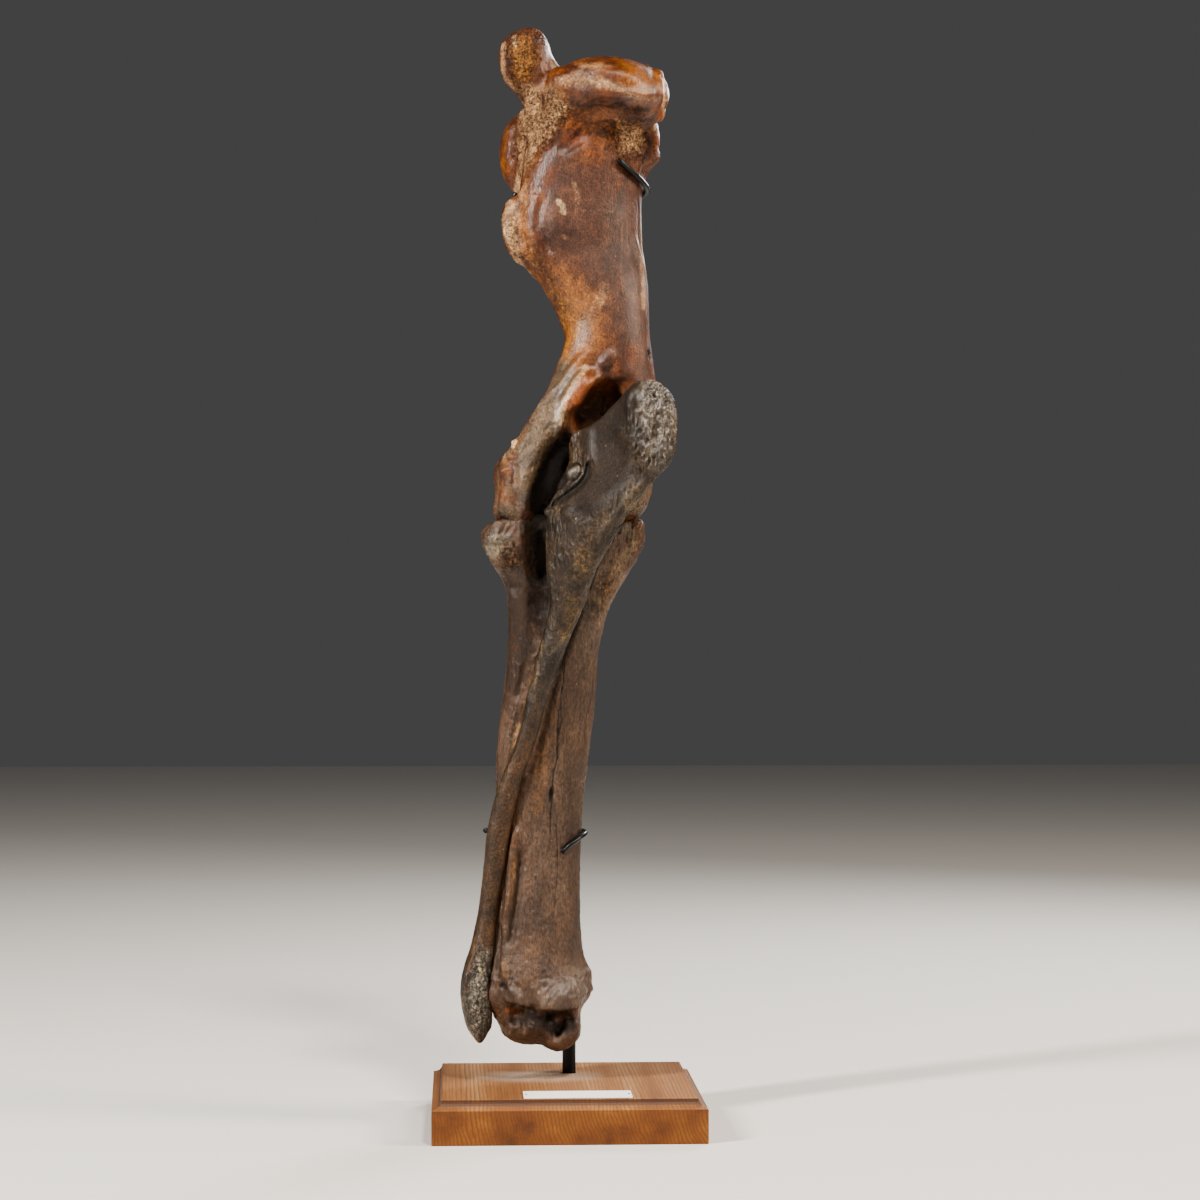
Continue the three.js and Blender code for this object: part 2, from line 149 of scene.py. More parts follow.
class Bone:
    """A bone as it is worked: the points of its skin in mm, and how strongly each finish lies there."""

    def __init__(self, name, cad, cell):
        self.piece = even_skin(name, cad, cell)
        mesh = self.piece.data
        self.points = np.array([v.co for v in mesh.vertices], np.float32).astype(np.float64) / MM
        self.edges = np.array([e.vertices for e in mesh.edges])
        self.faces = [tuple(f.vertices) for f in mesh.polygons]
        self.middle = (self.points.min(0) + self.points.max(0)) / 2
        self.finishes = {}
        self.smooth(FIRST_SMOOTHING)
        self.settle()

    def settle(self):
        """Takes the shape as it now is as the one that the next strokes are drawn on."""
        mesh = self.piece.data
        mesh.vertices.foreach_set("co", (self.points * MM).astype(np.float32).ravel())
        mesh.update()
        self.normals = np.array([n.vector for n in mesh.vertex_normals], np.float64)
        self.tree = BVHTree.FromPolygons([tuple(p) for p in self.points], self.faces)

    def smooth(self, rounds):
        """Evens out the steps that the small squares leave."""
        a, b = self.edges.T
        size = len(self.points)
        count = np.bincount(a, minlength=size) + np.bincount(b, minlength=size)
        for _ in range(rounds):
            total = np.stack([np.bincount(a, column[b], size) + np.bincount(b, column[a], size)
                              for column in self.points.T], axis=1)
            self.points += 0.5 * (total / count[:, None] - self.points)

    def layer(self, finish):
        """How strongly a finish lies at each point, from 0 up."""
        return self.finishes.setdefault(finish, np.zeros(len(self.points)))

    def trace(self, side, corners, step):
        """Points on the skin every step mm along a line drawn on one side, with the skin's facing."""
        across, up, way = SIDES[side]
        way = Vector(way)
        flat = [corners[0]]
        for a, b in zip(corners, corners[1:]):
            count = max(1, int(np.linalg.norm(b - a) / step))
            flat += [a + (b - a) * i / count for i in range(1, count + 1)]
        at, facing = [], []
        for spot in flat:
            start = Vector(self.middle)
            start[across], start[up] = spot
            place, normal, _, _ = self.tree.ray_cast(start - way * EYE_FROM_MM, way)
            if place is None:
                place, normal, _, _ = self.tree.find_nearest(start)
            at.append(place)
            facing.append(normal)
        return np.array(at), np.array(facing)

    def reach(self, side, width, line, fades=False):
        """The points within width of a line, and how near each is to it, from 0 to 1; where the
        line fades, that drops to 0 towards its ends."""
        step = max(FINEST_STEP_MM, width / 8)
        at, facing = self.trace(side, corners_of(line), step)
        low, high = at.min(0) - width, at.max(0) + width
        index = np.flatnonzero(np.all((self.points > low) & (self.points < high), axis=1))
        here, normals = self.points[index], self.normals[index]
        gap = np.full(len(index), np.inf)
        turn = np.zeros(len(index))
        from_end = np.full(len(index), np.inf)
        for i, (spot, way) in enumerate(zip(at, facing)):
            away = np.linalg.norm(here - spot, axis=1)
            closer = away < gap
            gap[closer] = away[closer]
            turn[closer] = normals[closer] @ way
            from_end[closer] = step * min(i, len(at) - 1 - i)
        weight = np.clip(1 - (gap / width) ** 2, 0, 1) ** 2 * np.clip((turn + 0.3) / 0.6, 0, 1)
        if fades and len(at) > 2:
            share = np.clip((from_end + step / 2) / min(1.8 * width, step * len(at) / 3), 0, 1)
            weight *= share * share * (3 - 2 * share)
        return index, weight

    def press(self, side, strokes):
        """Raises the skin along lines, or sinks it where the height is negative: each stroke is
        (width, height, line)."""
        for width, height, line in strokes:
            index, weight = self.reach(side, width, line, fades=True)
            self.points[index] += self.normals[index] * (height * weight)[:, None]

    def pull(self, side, strokes):
        """Draws the skin along lines: each stroke is (width, the way and distance it moves, line)."""
        for width, way, line in strokes:
            index, weight = self.reach(side, width, line)
            self.points[index] += np.array(way, float) * weight[:, None]

    def knob(self, side, spot, radius, rise):
        """Raises a round button of one radius by rise mm, under one spot of the side that the eye sees."""
        at, _ = self.trace(side, [spot], radius)
        way = np.array(SIDES[side][2], float)
        heart = at[0] + way * (radius - rise)
        away = self.points - heart
        gap = np.linalg.norm(away, axis=1)
        under = (gap < radius) & (self.normals @ way < 0.3)
        self.points[under] = heart + away[under] * (radius / gap[under])[:, None]

    def pare(self, run, move, curve, sign, fade=4.0):
        """Moves the points past a curve back to it: run is the axis along it, move the one across."""
        curve = corners_of(curve)
        line = np.interp(self.points[:, run], curve[:, 0], curve[:, 1])
        ends = np.minimum(self.points[:, run] - curve[0, 0], curve[-1, 0] - self.points[:, run])
        past = (self.points[:, move] - line) * sign
        self.points[:, move] -= sign * np.where(past > 0, past * PARED_SHARE * np.clip(ends / fade, 0, 1), 0)

    def tint(self, side, finishes):
        """Lays finishes along lines, full in the middle and half as strong at about the width:
        each stroke is (width, amount, line)."""
        for finish, strokes in finishes.items():
            layer = self.layer(finish)
            for width, amount, line in strokes:
                index, weight = self.reach(side, width * 1.6, line)
                layer[index] = np.maximum(layer[index], amount * np.clip(weight * 1.25, 0, 1))

    def patch(self, side, finishes):
        """Lays finishes inside outlines, fading over soft mm at the edge: each patch is
        (soft, amount, outline)."""
        across, up, way = SIDES[side]
        all_facing = self.normals @ -np.array(way, float)
        for finish, patches in finishes.items():
            layer = self.layer(finish)
            for soft, amount, outline in patches:
                corners = corners_of(outline)
                flat = self.points[:, [across, up]]
                near = np.all((flat > corners.min(0) - soft) & (flat < corners.max(0) + soft), axis=1)
                index = np.flatnonzero(near & (all_facing > 0))
                u, v = flat[index].T
                inside = np.zeros(len(index), bool)
                gap = np.full(len(index), np.inf)
                for (ax, ay), (bx, by) in zip(corners, np.roll(corners, -1, axis=0)):
                    cut = ax + (v - ay) * (bx - ax) / (by - ay if by != ay else 1e-9)
                    inside ^= ((ay > v) != (by > v)) & (u < cut)
                    share = np.clip(((u - ax) * (bx - ax) + (v - ay) * (by - ay))
                                    / max(1e-9, (bx - ax) ** 2 + (by - ay) ** 2), 0, 1)
                    gap = np.minimum(gap, np.hypot(u - ax - share * (bx - ax), v - ay - share * (by - ay)))
                depth = np.where(inside, gap, -gap)
                weight = np.clip((depth + soft) / (2 * soft), 0, 1) * np.clip(all_facing[index] * 3, 0, 1)
                layer[index] = np.maximum(layer[index], amount * weight)

    def ends(self, finish, low, high, soft, amount):
        """Lays a finish below one height and above another."""
        z = self.points[:, 2]
        weight = np.clip(np.maximum((low - z) / soft, (z - high) / soft), 0, 1)
        self.finishes[finish] = np.maximum(self.layer(finish), amount * weight)

    def weather(self, waves, crags, pits):
        """Small unevenness, in mm: waves are (size, height, stretch along the bone) everywhere but
        where it is smooth, crags (size, height, stretch) where it is rough, and pits (size, depth)
        where it is spongy."""
        lift = np.zeros(len(self.points))
        rough, spongy, smooth = [self.finishes.get(finish, lift) for finish in ("rough", "spongy", "smooth")]
        uneven = 1 - SMOOTH_CALMS * np.clip(smooth, 0, 1)
        for size, height, stretch in waves:
            scaled = self.points / np.array([size, size, size * stretch])
            lift = lift + height * uneven * np.array([noise.noise(Vector(p)) for p in scaled])
        size, height, stretch = crags
        scaled = self.points / np.array([size, size, size * stretch])
        for i in np.flatnonzero(rough > 0.05):
            spot = Vector(scaled[i])
            ridged = 1 - 2 * abs(noise.noise(spot)) + 0.6 * noise.noise(spot * 2.3)
            lift[i] += height * rough[i] * uneven[i] * (ridged - 0.7)
        size, depth = pits
        for i in np.flatnonzero(spongy > 0.05):
            near = noise.voronoi(Vector(self.points[i] / size))[0][0]
            lift[i] += depth * spongy[i] * (min(near, 0.6) - 0.42) * 2
        self.points += self.normals * lift[:, None]

    def stand_off(self, other, way):
        """Draws the skin that lies inside another bone along way, until it is just clear of it."""
        way = Vector(way).normalized()
        low, high = other.points.min(0), other.points.max(0)
        for i in np.flatnonzero(np.all((self.points > low) & (self.points < high), axis=1)):
            place, normal, _, _ = other.tree.ray_cast(Vector(self.points[i]), way)
            if place is not None and normal.dot(way) > 0:
                self.points[i] = place + way * STAND_OFF_MM

    def hand_over(self, material, cad):
        """Writes the worked skin and its finishes back to the piece, and fixes it to the frame."""
        self.settle()
        mesh = self.piece.data
        mesh.shade_smooth()
        for finish, layer in self.finishes.items():
            attribute = mesh.attributes.new(finish, "FLOAT", "POINT")
            attribute.data.foreach_set("value", layer.astype(np.float32))
        mesh.materials.clear()
        mesh.materials.append(material)
        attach(self.piece, "root")
        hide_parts(cad)


def linear(code):
    """A colour given as an sRGB hex code, in the linear values that shaders use."""
    parts = [int(code[i:i + 2], 16) / 255 for i in (1, 3, 5)]
    return tuple(p / 12.92 if p <= 0.04045 else ((p + 0.055) / 1.055) ** 2.4 for p in parts) + (1.0,)


def per_mm(size):
    """The scale of a pattern whose features are size mm across."""
    return 1 / (size * MM)


def feed(node, inputs):
    """Sets inputs of a node, by their names or in their own order: each takes a value, or the
    socket that feeds it."""
    for key, value in inputs.items() if isinstance(inputs, dict) else enumerate(inputs):
        if isinstance(value, bpy.types.NodeSocket):
            node.id_data.links.new(value, node.inputs[key])
        else:
            node.inputs[key].default_value = value


def new_material(name):
    """An empty material, its shader, and the function that adds a node to it."""
    material = bpy.data.materials.new(name)
    material.use_nodes = True

    def add(kind, inputs=(), give=0, stops=(), **settings):
        """Adds a node and returns one of its outputs; stops are the places and colours of a ramp."""
        made = material.node_tree.nodes.new("ShaderNode" + kind)
        for key, value in settings.items():
            setattr(made, key, value)
        feed(made, inputs)
        if stops:
            marks = made.color_ramp.elements
            while len(marks) < len(stops):
                marks.new(0.5)
            for mark, (place, code) in zip(marks, stops):
                mark.position = place
                mark.color = linear(code)
        return made.outputs[give]

    return material, material.node_tree.nodes["Principled BSDF"], add


def fossil_bone(name, ground, second, patches, *, streak, fibre_mm, fibre_depth, speckle, gloss, varnish,
                film_relief):
    """Permineralised bone: two mottled ground colours in wide zones, drawn out along the bone by
    streak, fine fibres, light and dark flecks, open pores where it is spongy, and a thin varnish
    that is whole on sound shell and lost in hollows and pores."""
    material, shader, add = new_material(name)
    laid = {finish: add("Attribute", give="Fac", attribute_name=finish)
            for finish in ["cool", "spongy", "smooth", "rough", "glazed"]}
    place = add("TexCoord", give="Object")
    drawn = add("Mapping", {"Vector": place, "Scale": (1.0, 1.0, 1 / streak)})
    mottle = add("TexNoise", {"Vector": drawn, "Scale": per_mm(16), "Detail": 9.0, "Roughness": 0.7,
                              "Distortion": 0.5})
    zone = add("TexNoise", {"Vector": drawn, "Scale": per_mm(55), "Detail": 6.0, "Roughness": 0.62,
                            "Distortion": 0.8})
    zone = add("Math", [laid["cool"], 0.25, zone], operation="MULTIPLY_ADD")
    zone = add("MapRange", [zone, 0.42, 0.70], interpolation_type="SMOOTHSTEP")
    warm = add("ValToRGB", {"Fac": mottle}, stops=ground)
    cool = add("ValToRGB", {"Fac": mottle}, stops=second)
    colour = add("Mix", {0: zone, 6: warm, 7: cool}, give=2, data_type="RGBA")
    breakup = add("TexNoise", {"Vector": place, "Scale": per_mm(4.5), "Detail": 9.0, "Roughness": 0.8})
    fleck = add("TexNoise", {"Vector": drawn, "Scale": per_mm(1.4), "Detail": 4.0, "Roughness": 0.75})
    # the finishes laid on the bone, each with a ragged edge
    masks = {}
    for finish, dark, light in patches:
        own = add("Attribute", give="Fac", attribute_name=finish)
        ragged = add("Math", [breakup, 1.5, own], operation="MULTIPLY_ADD")
        masks[finish] = add("MapRange", [ragged, 0.92, 1.68], interpolation_type="SMOOTHSTEP")
        own = add("ValToRGB", {"Fac": mottle}, stops=[(0.34, dark), (0.64, light)])
        colour = add("Mix", {0: masks[finish], 6: colour, 7: own}, give=2, data_type="RGBA")
    # fibres, flecks and the uneven tone of the open parts
    along = add("Mapping", {"Vector": place, "Scale": (1.0, 1.0, 0.08)})
    fibre = add("TexNoise", {"Vector": along, "Scale": per_mm(fibre_mm), "Detail": 6.0, "Roughness": 0.68,
                             "Distortion": 0.25})
    grain = 0.36 * fibre_depth
    fibre_tone = add("MapRange", [fibre, 0.34, 0.64, 0.91 - grain, 0.91 + grain])
    fleck_tone = add("MapRange", [fleck, 0.39, 0.61, 1 - speckle, 1 + speckle])
    tone = add("Math", [fibre_tone, fleck_tone], operation="MULTIPLY")
    open_part = add("Math", [breakup, 0.9, laid["spongy"]], operation="MULTIPLY_ADD")
    open_part = add("MapRange", [open_part, 0.6, 1.1])
    uneven = add("MapRange", [breakup, 0.38, 0.62, -0.36, 0.16])
    uneven = add("Math", [open_part, uneven, 1.0], operation="MULTIPLY_ADD")
    tone = add("Math", [tone, uneven], operation="MULTIPLY")
    colour = add("HueSaturation", {"Saturation": 1.04, "Value": tone, "Color": colour})
    # pale crumbs of matrix, and pores
    crumb = add("TexVoronoi", {"Vector": place, "Scale": per_mm(5.0)}, give="Distance")
    crumb = add("MapRange", [crumb, 0.17, 0.08])
    here = add("MapRange", [breakup, 0.54, 0.64, 0.0, 0.7])
    crumb = add("Math", [crumb, here], operation="MULTIPLY")
    colour = add("Mix", {0: crumb, 6: colour, 7: linear("#b89a70")}, give=2, data_type="RGBA")
    pore = add("TexNoise", {"Vector": place, "Scale": per_mm(1.7), "Detail": 4.0, "Roughness": 0.7,
                            "Distortion": 1.2})
    hole = add("MapRange", [pore, 0.50, 0.38], interpolation_type="SMOOTHSTEP")
    holes = add("Math", [hole, open_part], operation="MULTIPLY")
    shade = add("Math", [holes, 0.8], operation="MULTIPLY")
    colour = add("Mix", {0: shade, 6: colour, 7: linear("#33210f")}, give=2, data_type="RGBA")
    # relief in mm: fibres, grit and flecks stand up, pores are sunk
    grit = add("TexNoise", {"Vector": place, "Scale": per_mm(0.8), "Detail": 2.0})
    relief = add("Math", [fibre, fibre_depth], operation="MULTIPLY")
    for part, height in [(grit, 0.14), (fleck, 0.5), (holes, -0.9)]:
        relief = add("Math", [part, height, relief], operation="MULTIPLY_ADD")
    # the varnish is lost in open parts, in darkened places (painted shade in hollows, and the cracks), in
    # rough or cool places, and whole where it is glazed
    lost = add("Math", [open_part, masks["dark"]], operation="MAXIMUM")
    for finish, share in [("rough", 0.7), ("cool", 0.6), ("smooth", 0.6)]:
        dulled = add("Math", [laid[finish], share], operation="MULTIPLY")
        lost = add("Math", [lost, dulled], operation="MAXIMUM")
    lost = add("Math", [lost, laid["glazed"]], operation="SUBTRACT", use_clamp=True)
    patchy = add("MapRange", [breakup, 0.3, 0.7, gloss - 0.07, gloss + 0.12])
    roughness = add("Math", [lost, 0.34, patchy], operation="MULTIPLY_ADD")
    film_left = add("MapRange", [lost, 0.1, 0.8, varnish, 0.0])
    film_left = add("Math", [laid["glazed"], 0.8, film_left], operation="MULTIPLY_ADD")
    bump, film = [add("Bump", {"Height": relief, "Distance": MM, "Strength": strength})
                  for strength in (1.0, film_relief)]
    feed(shader, {"Base Color": colour, "Roughness": roughness, "Normal": bump, "IOR": 1.5,
                  "Specular IOR Level": 0.3, "Coat Weight": film_left, "Coat Roughness": 0.2,
                  "Coat Normal": film})
    return material


humerus = Bone("humerus_bone", "humerus", HUMERUS_CELL_MM)
# Drying cracks: the side, their width and depth, the width and strength of the dark tint along them, and the
# line.
humerus_cracks = [
    ("front", 1.8, 1.3, 0.7, 0.85, "21,676 18,655 22,634 20,610 22,596"),
    ("inner", 1.8, 1.2, 0.7, 0.85, "13,694 11,676 15,655 12,640 14,618"),
    ("outer", 1.8, 1.2, 0.7, 0.85, "14,590 11,572 14,556 12,542"),
]
tubercle_face = "-45,772 -36,786 -22,786 -17,766 -24,748 -38,742"
head_lip = "44,731 56,730 66,732"
pit_crest = "14,540 4,526 -2,514 -5,500"
inner_condyle = "34,474 64,474 66,434 34,434"

# The head: its root runs into the tubercle, and its lower edge hangs over a deep groove.
humerus.press("rear", [
    (11, 3.6, "-10,757 -7,747 -6,738"),
    (5.5, 1.2, "-10,741 0,738 14,735 30,733 48,732 64,733"),
    (8, 2.4, "-2,753 14,751 30,748 44,745 56,743"),
    (6, 3, "66,753 67,740 66,727"),
    (9, -4.4, "4,720 14,721 26,721 40,720 52,719 60,720"),
    (5, -1.8, "6,728 22,727 40,726 56,725"),
])
humerus.press("inner", [(9, 3, "8,722 -4,722 -12,722")])
humerus.press("rear", [
    (4, 1.6, "-18,762 -17,752"),
    # the rough mass between tubercle and shaft, its sharp lower ledge, and the hollow under it
    (13, 3.2, "-22,730 -12,722 -14,710 -22,700"),
    (5, 2.4, "10,722 3,715 -5,708 -14,701 -20,694"),
    (7, -3, "18,711 10,706 2,699 -6,692"),
    (5, 1.8, "-31,739 -29,726 -29,711 -32,695 -34,680"),
    (5, -2.4, "-37,722 -37,705 -38,690"),
    # the shoulder of the shaft, and the channel beside it
    (15, 2.8, "0,693 -14,685 -22,676 -26,664 -26,648 -25,626 -21,606"),
    (7, -1.4, "-34,672 -35,655 -34,640 -32,622"),
    (7, 2, "-40,664 -42,648 -40,636 -37,624 -33,614"),
    (18, 1.8, "-4,684 -9,664 -9,640 -8,618"),
    (4, 2, "-21,742 -14,737"),
    (4, -2, "-11,737 -6,730 -8,726"),
    (4.5, 2.2, "-3,724 -8,716"),
    (4, -2.2, "-16,726 -19,714"),
    (5, 2.2, "-24,716 -26,702"),
    (4, -2, "-20,704 -24,692"),
    # the inner tubercle
    (6, 2.4, "66,702 69,695 64,689"),
    (6, -2.6, "56,712 61,706"),
    (4, 1.4, "48,712 50,700"),
    (4, -1.4, "42,706 44,694"),
    # the long low ridge of the inner border and the flat beside it
    (4, 0.35, "41,655 40,626 39,611 43,588"),
    # the crests over the pit behind the elbow, and the pit
    (5, 2.6, "16,541 6,528 0,519 -4,508 -6,494 -8,480"),
    (6, 2, "36,553 29,545 21,537"),
    (7, -1.6, "24,545 14,536"),
    (9, -4, "1,503 9,507 17,510"),
    (4, 2.2, "31,524 30,514 29,506"),
    # the outer condyle: a rough column, lumps on its outer edge, and the deep cleft beside it
    (13, -8, "0,486 -6,472 -12,458 -17,444 -19,434"),
    (5, 2.6, "-38,491 -37,484"),
    (4, -2.8, "-43,477 -35,476"),
    (6, 3, "-44,469 -45,462"),
    (4, -2, "-39,474 -37,463 -38,452"),
    (5, 2, "-46,452 -45,444"),
    (7, 2.2, "-14,494 -22,478 -29,460 -32,444"),
])
humerus.press("outer", [(9, 4, "-14,444 -4,441 10,441")])
humerus.press("rear", [(8, 3.2, "-44,442 -36,437 -30,436")])
humerus.press("front", [
    # in front: the pit over the roller, the grooves of the roller, the groove between the tubercles
    (15, -4, "-8,506 2,504 12,502"),
    (10, -4.5, "4,482 5,462 4,440"),
    (7, -3, "-30,472 -31,456 -30,440"),
    (6, 1.8, "-18,476 -20,460 -20,444"),
    (8, -3, "-20,752 -14,734 -12,716"),
    (9, 2, "-30,660 -26,630 -20,600"),
    (12, -1.6, "8,640 10,600 8,560"),
])
humerus.press("outer", [
    # on the outer side: the deltoid crest and the line down from it, and the lower crest
    (8, -3, "8,742 24,738 40,726"),
    (6, 2.6, "2,722 20,716 36,706"),
])
humerus.press("front", [
    (8, -3.2, "-44,716 -34,722 -24,728"),
    (7, 2.8, "-46,700 -34,702 -24,708"),
    (7, -2.6, "52,712 60,704 66,698"),
])
humerus.press("outer", [
    (7, 2.4, "4,676 6,656 4,636 0,616"),
    (5, -2, "-8,664 -8,640 -10,620"),
    (6, 2.2, "-16,556 -18,530 -16,504"),
    (10, -2.4, "8,460 12,450"),
])
humerus.press("inner", [
    # on the inner side: a muscle scar, the blood vessel's hole, and the pit in the condyle
    (6, 1.6, "6,640 8,622 8,606"),
    (2.4, -3, "-1,552 -1,549"),
    (11, -3, "2,462 8,460"),
])
for side, width, depth, darkening_width, darkening, line in humerus_cracks:
    humerus.press(side, [(width, -depth, line)])
# the ends of the roller, the cleft beside the column, the edge of the head, and the pit's floor
humerus.pull("rear", [(13, (-1, -1, -8), "-45,444 -38,438 -30,436")])
humerus.pull("outer", [(12, (-1, 0, -6), "-16,440 0,436")])
humerus.pull("rear", [
    (14, (0, 9, 0), "-3,484 -8,472 -13,458 -17,444 -19,434"),
    (11, (0, -1, -4), "36,440 46,441 53,446"),
    (7, (1.5, 0, 2.5), "67,752"),
    (17, (0, -9, 0), "8,515 15,525"),
    (11, (0, -5, 0), "6,516 12,527"),
])
humerus.smooth(2)
humerus.settle()

# Finishes: spongy where the shell is lost, rough where muscle held, tan and cream on worn edges,
# amber and orange stains, and painted shade in the hollows, the cleft and under the head. The cream
# along the head's lip and the pit's crest is partly a painted highlight, and the amber, orange and
# gold in the pit behind the elbow are partly painted light on its lit upper wall.
humerus.patch("rear", {
    "spongy": [
        (4, 0.75, tubercle_face), (5, 1, "-31,744 -12,740 6,722 -4,708 -18,694 -32,682 -36,700"),
        (5, 0.9, "32,717 60,717 69,712 66,696 42,690 28,698"),
        (3, 0.35, "-8,748 10,750 34,744 42,735 20,733 -8,738")],
    "amber": [
        (5, 0.7, "-38,774 -30,780 -20,776 -18,764 -26,752 -36,756"),
        # in the pit behind the elbow: amber, partly painted light on its lit upper wall
        (8, 0.5, "-2,514 8,528 20,532 26,518 14,512 2,506"),
        (8, 0.8, "34,757 52,760 68,754 70,740 56,732 36,734"),
        (12, 0.65, "-20,620 8,616 30,590 34,556 20,538 -4,520 -16,540 -8,590")],
    "gold": [
        (5, 0.8, "-41,772 -34,784 -24,782 -20,766 -26,750 -35,746"),
        (10, 0.5, "-22,612 0,600 18,590 26,566 12,546 -2,536 -12,552 -12,580")],
    "rough": [
        (5, 1, "-33,750 -10,744 8,722 -4,706 -18,692 -34,676 -38,704"),
        (5, 1, "32,717 60,717 71,712 68,690 50,686 28,698"),
        (6, 0.85, "-4,520 -3,490 -16,462 -26,436 -36,436 -36,470 -34,500 -18,528"),
        (5, 0.7, "-20,460 -26,436 -44,436 -40,452"), (4, 0.3, "-8,748 10,752 34,746 42,735 20,733 -8,738"),
        (5, 0.5, tubercle_face), (4, 0.35, "-46,664 -36,664 -34,640 -30,616 -40,624"),
        (6, 0.5, inner_condyle)],
    "tan": [
        (5, 0.68, "-34,750 -12,746 4,724 -6,709 -20,694 -32,674 -36,700"),
        (6, 0.85, "36,715 56,715 56,698 40,696"), (4, 0.75, "6,756 24,757 34,752 24,750 8,751"),
        (3, 0.6, "-8,747 7,750 25,745 38,738 46,733 44,731 25,735 7,737 -8,740")],
    "grey": [
        (6, 0.2, "-30,738 -10,738 0,722 -8,708 -22,692 -30,690"),
        (6, 1, "-6,556 8,536 2,516 -3,490 -16,462 -26,440 -36,440 -38,470 -30,500 -18,530"),
        (6, 0.9, inner_condyle)],
    "cream": [(3, 0.5, "-2,745 10,746 24,742 34,738 30,736 14,739")],
    "orange": [(5, 1.1, "-4,714 8,717 16,710 10,700 -2,701")],
    # painted shade: the deep cleft between the outer condyle's column and the ulna
    "dark": [(3, 1, "-1,496 -10,483 -19,470 -26,453 -28,438 -10,424 14,440 10,484")],
    "cool": [(10, 0.9, "-8,690 30,690 52,660 52,560 40,540 30,560 14,610 -20,640")],
})
humerus.patch("front", {
    "rough": [(9, 0.8, "-50,752 -24,752 -20,712 -34,690 -50,700"), (9, 0.8, "40,720 70,724 72,694 46,690")],
    "tan": [
        (9, 0.7, "-50,748 -30,748 -26,716 -40,700"), (9, 0.6, "-46,486 -30,494 20,492 50,484 50,470 -44,470")],
    "spongy": [(8, 0.5, "44,716 68,720 68,698 48,694")],
    "amber": [(10, 0.6, "-36,480 50,480 52,430 -40,430")],
    "grey": [(14, 0.7, "-34,700 -10,690 -12,600 -30,610")],
    "cool": [(14, 0.9, "0,690 30,690 34,560 0,540")],
    "cream": [(7, 0.6, "-50,780 -18,784 -24,768 -46,764")],
})
humerus.patch("top", {"rough": [(9, 0.5, "-46,-20 -20,-20 -20,60 -46,60")]})
humerus.patch("outer", {
    "rough": [
        (8, 0.8, "-4,684 14,680 12,630 4,600 -8,620"), (12, 0.6, "-36,760 -10,770 10,745 6,700 -20,690"),
        (10, 0.7, "-34,500 -4,500 12,470 16,432 -36,432")],
    "tan": [(8, 0.6, "-4,680 10,676 8,636 0,612 -6,630")],
    "grey": [(12, 0.7, "-34,520 -8,520 0,470 4,430 -36,430")],
})
humerus.patch("inner", {
    "cool": [(14, 0.9, "-10,690 20,690 24,560 -12,520")],
    "amber": [(14, 0.3, "-20,500 30,500 34,436 -22,436")],
})
humerus.patch("under", {"spongy": [(8, 0.4, "-50,-30 60,-30 60,30 -50,30")]})
humerus.tint("rear", {
    "cream": [
        # head_lip and pit_crest: pale worn edges, partly painted highlights on the head's lip and the pit's
        # crest
        (2.5, 0.35, head_lip), (2, 0.6, "-37,782 -36,775"), (5, 0.4, "-41,661 -43,648 -40,634"),
        (2.6, 0.55, "-6,659 -3,656 -2,651"), (3, 0.5, pit_crest)],
    "tan": [
        (4, 0.6, "70,752 71,740 70,730 70,720 68,712"), (4, 0.7, "-45,776 -45,758 -41,747 -34,741"),
        (3.5, 0.9, "-32,739 -29,726 -29,711 -32,695 -33,679 -35,668"),
        (5, 0.85, "-40,660 -40,640 -36,622 -26,606"), (3.6, 0.5, "57,647 56,625 56,600 56,585"),
        (2, 0.5, "-2,634 0,632"), (2.4, 0.35, "6,672 9,664 8,656"), (1.4, 0.3, "8,652 21,653 34,653"),
        (1.4, 0.3, "41,645 40,626 39,611 42,590"), (5, 0.4, "28,597 22,584 12,572"),
        (3.5, 0.8, "-39,493 -38,485"), (3, 0.5, "-43,486 -45,474 -42,466")],
    "dark": [
        # painted shade: under the head's lip, in the crease at the head's root, under the ledge and in the
        # inner tubercle's hollow
        (3.6, 0.55, "4,727 14,725.5 22,727.5 32,725 40,726.5 50,723.5 58,724"), (3, 0.3, "-7,743 -8,736"),
        (3, 0.35, "14,713 5,706 -5,697"), (4, 0.3, "44,710 52,706 58,700")],
    "glazed": [(7, 0.6, pit_crest), (7, 0.8, "-24,452 -30,442"), (6, 0.6, head_lip)],
    "amber": [
        (9, 0.35, "22,712 30,704 20,692 0,688"), (6, 0.6, "-30,664 -30,640 -26,610 -14,590"),
        (5, 0.5, "-42,720 -45,700 -44,684")],
    "orange": [
        (3, 0.5, "14,700 16,694"), (4, 0.8, "68,722 70,714 66,706"), (3, 0.35, "-33,668 -33,645 -31,624"),
        # the long orange stroke in the pit: partly painted light on its lit upper wall
        (9, 1.1, "24,528 14,524 6,514"), (3, 0.4, "-38,478 -40,466")],
    "spongy": [(5, 0.5, "-39,648 -37,628"), (8, 0.12, "-18,512 -20,490 -26,464 -34,444")],
    # gold in the pit: partly painted light on its lit upper wall
    "gold": [(8, 0.4, "22,530 14,524 6,514 2,504")],
    "grey": [(10, 0.6, "22,500 14,508 24,514"), (6, 0.9, "-46,440 -38,434")],
    "redbrown": [(6, 0.6, "-44,470 -47,460 -47,446")],
    "rough": [(6, 0.9, "69,754 71,740 70,730 70,716")],
})
# painted shade in the blood vessel's hole
humerus.tint("inner", {"dark": [(2, 1, "-1,553 -1,548")]})
# each crack is darkened along its line
for side, width, depth, darkening_width, darkening, line in humerus_cracks:
    humerus.tint(side, {"dark": [(darkening_width, darkening, line)]})
humerus.ends("spongy", 446, 772, 14, 0.5)
humerus.ends("rough", 470, 900, 40, 0.4)
humerus.weather([(28, 0.7, 1.6), (9, 0.10, 2.0), (3.0, 0.05, 3.0)], (2.6, 1.1, 1.3), (2.6, 1.8))
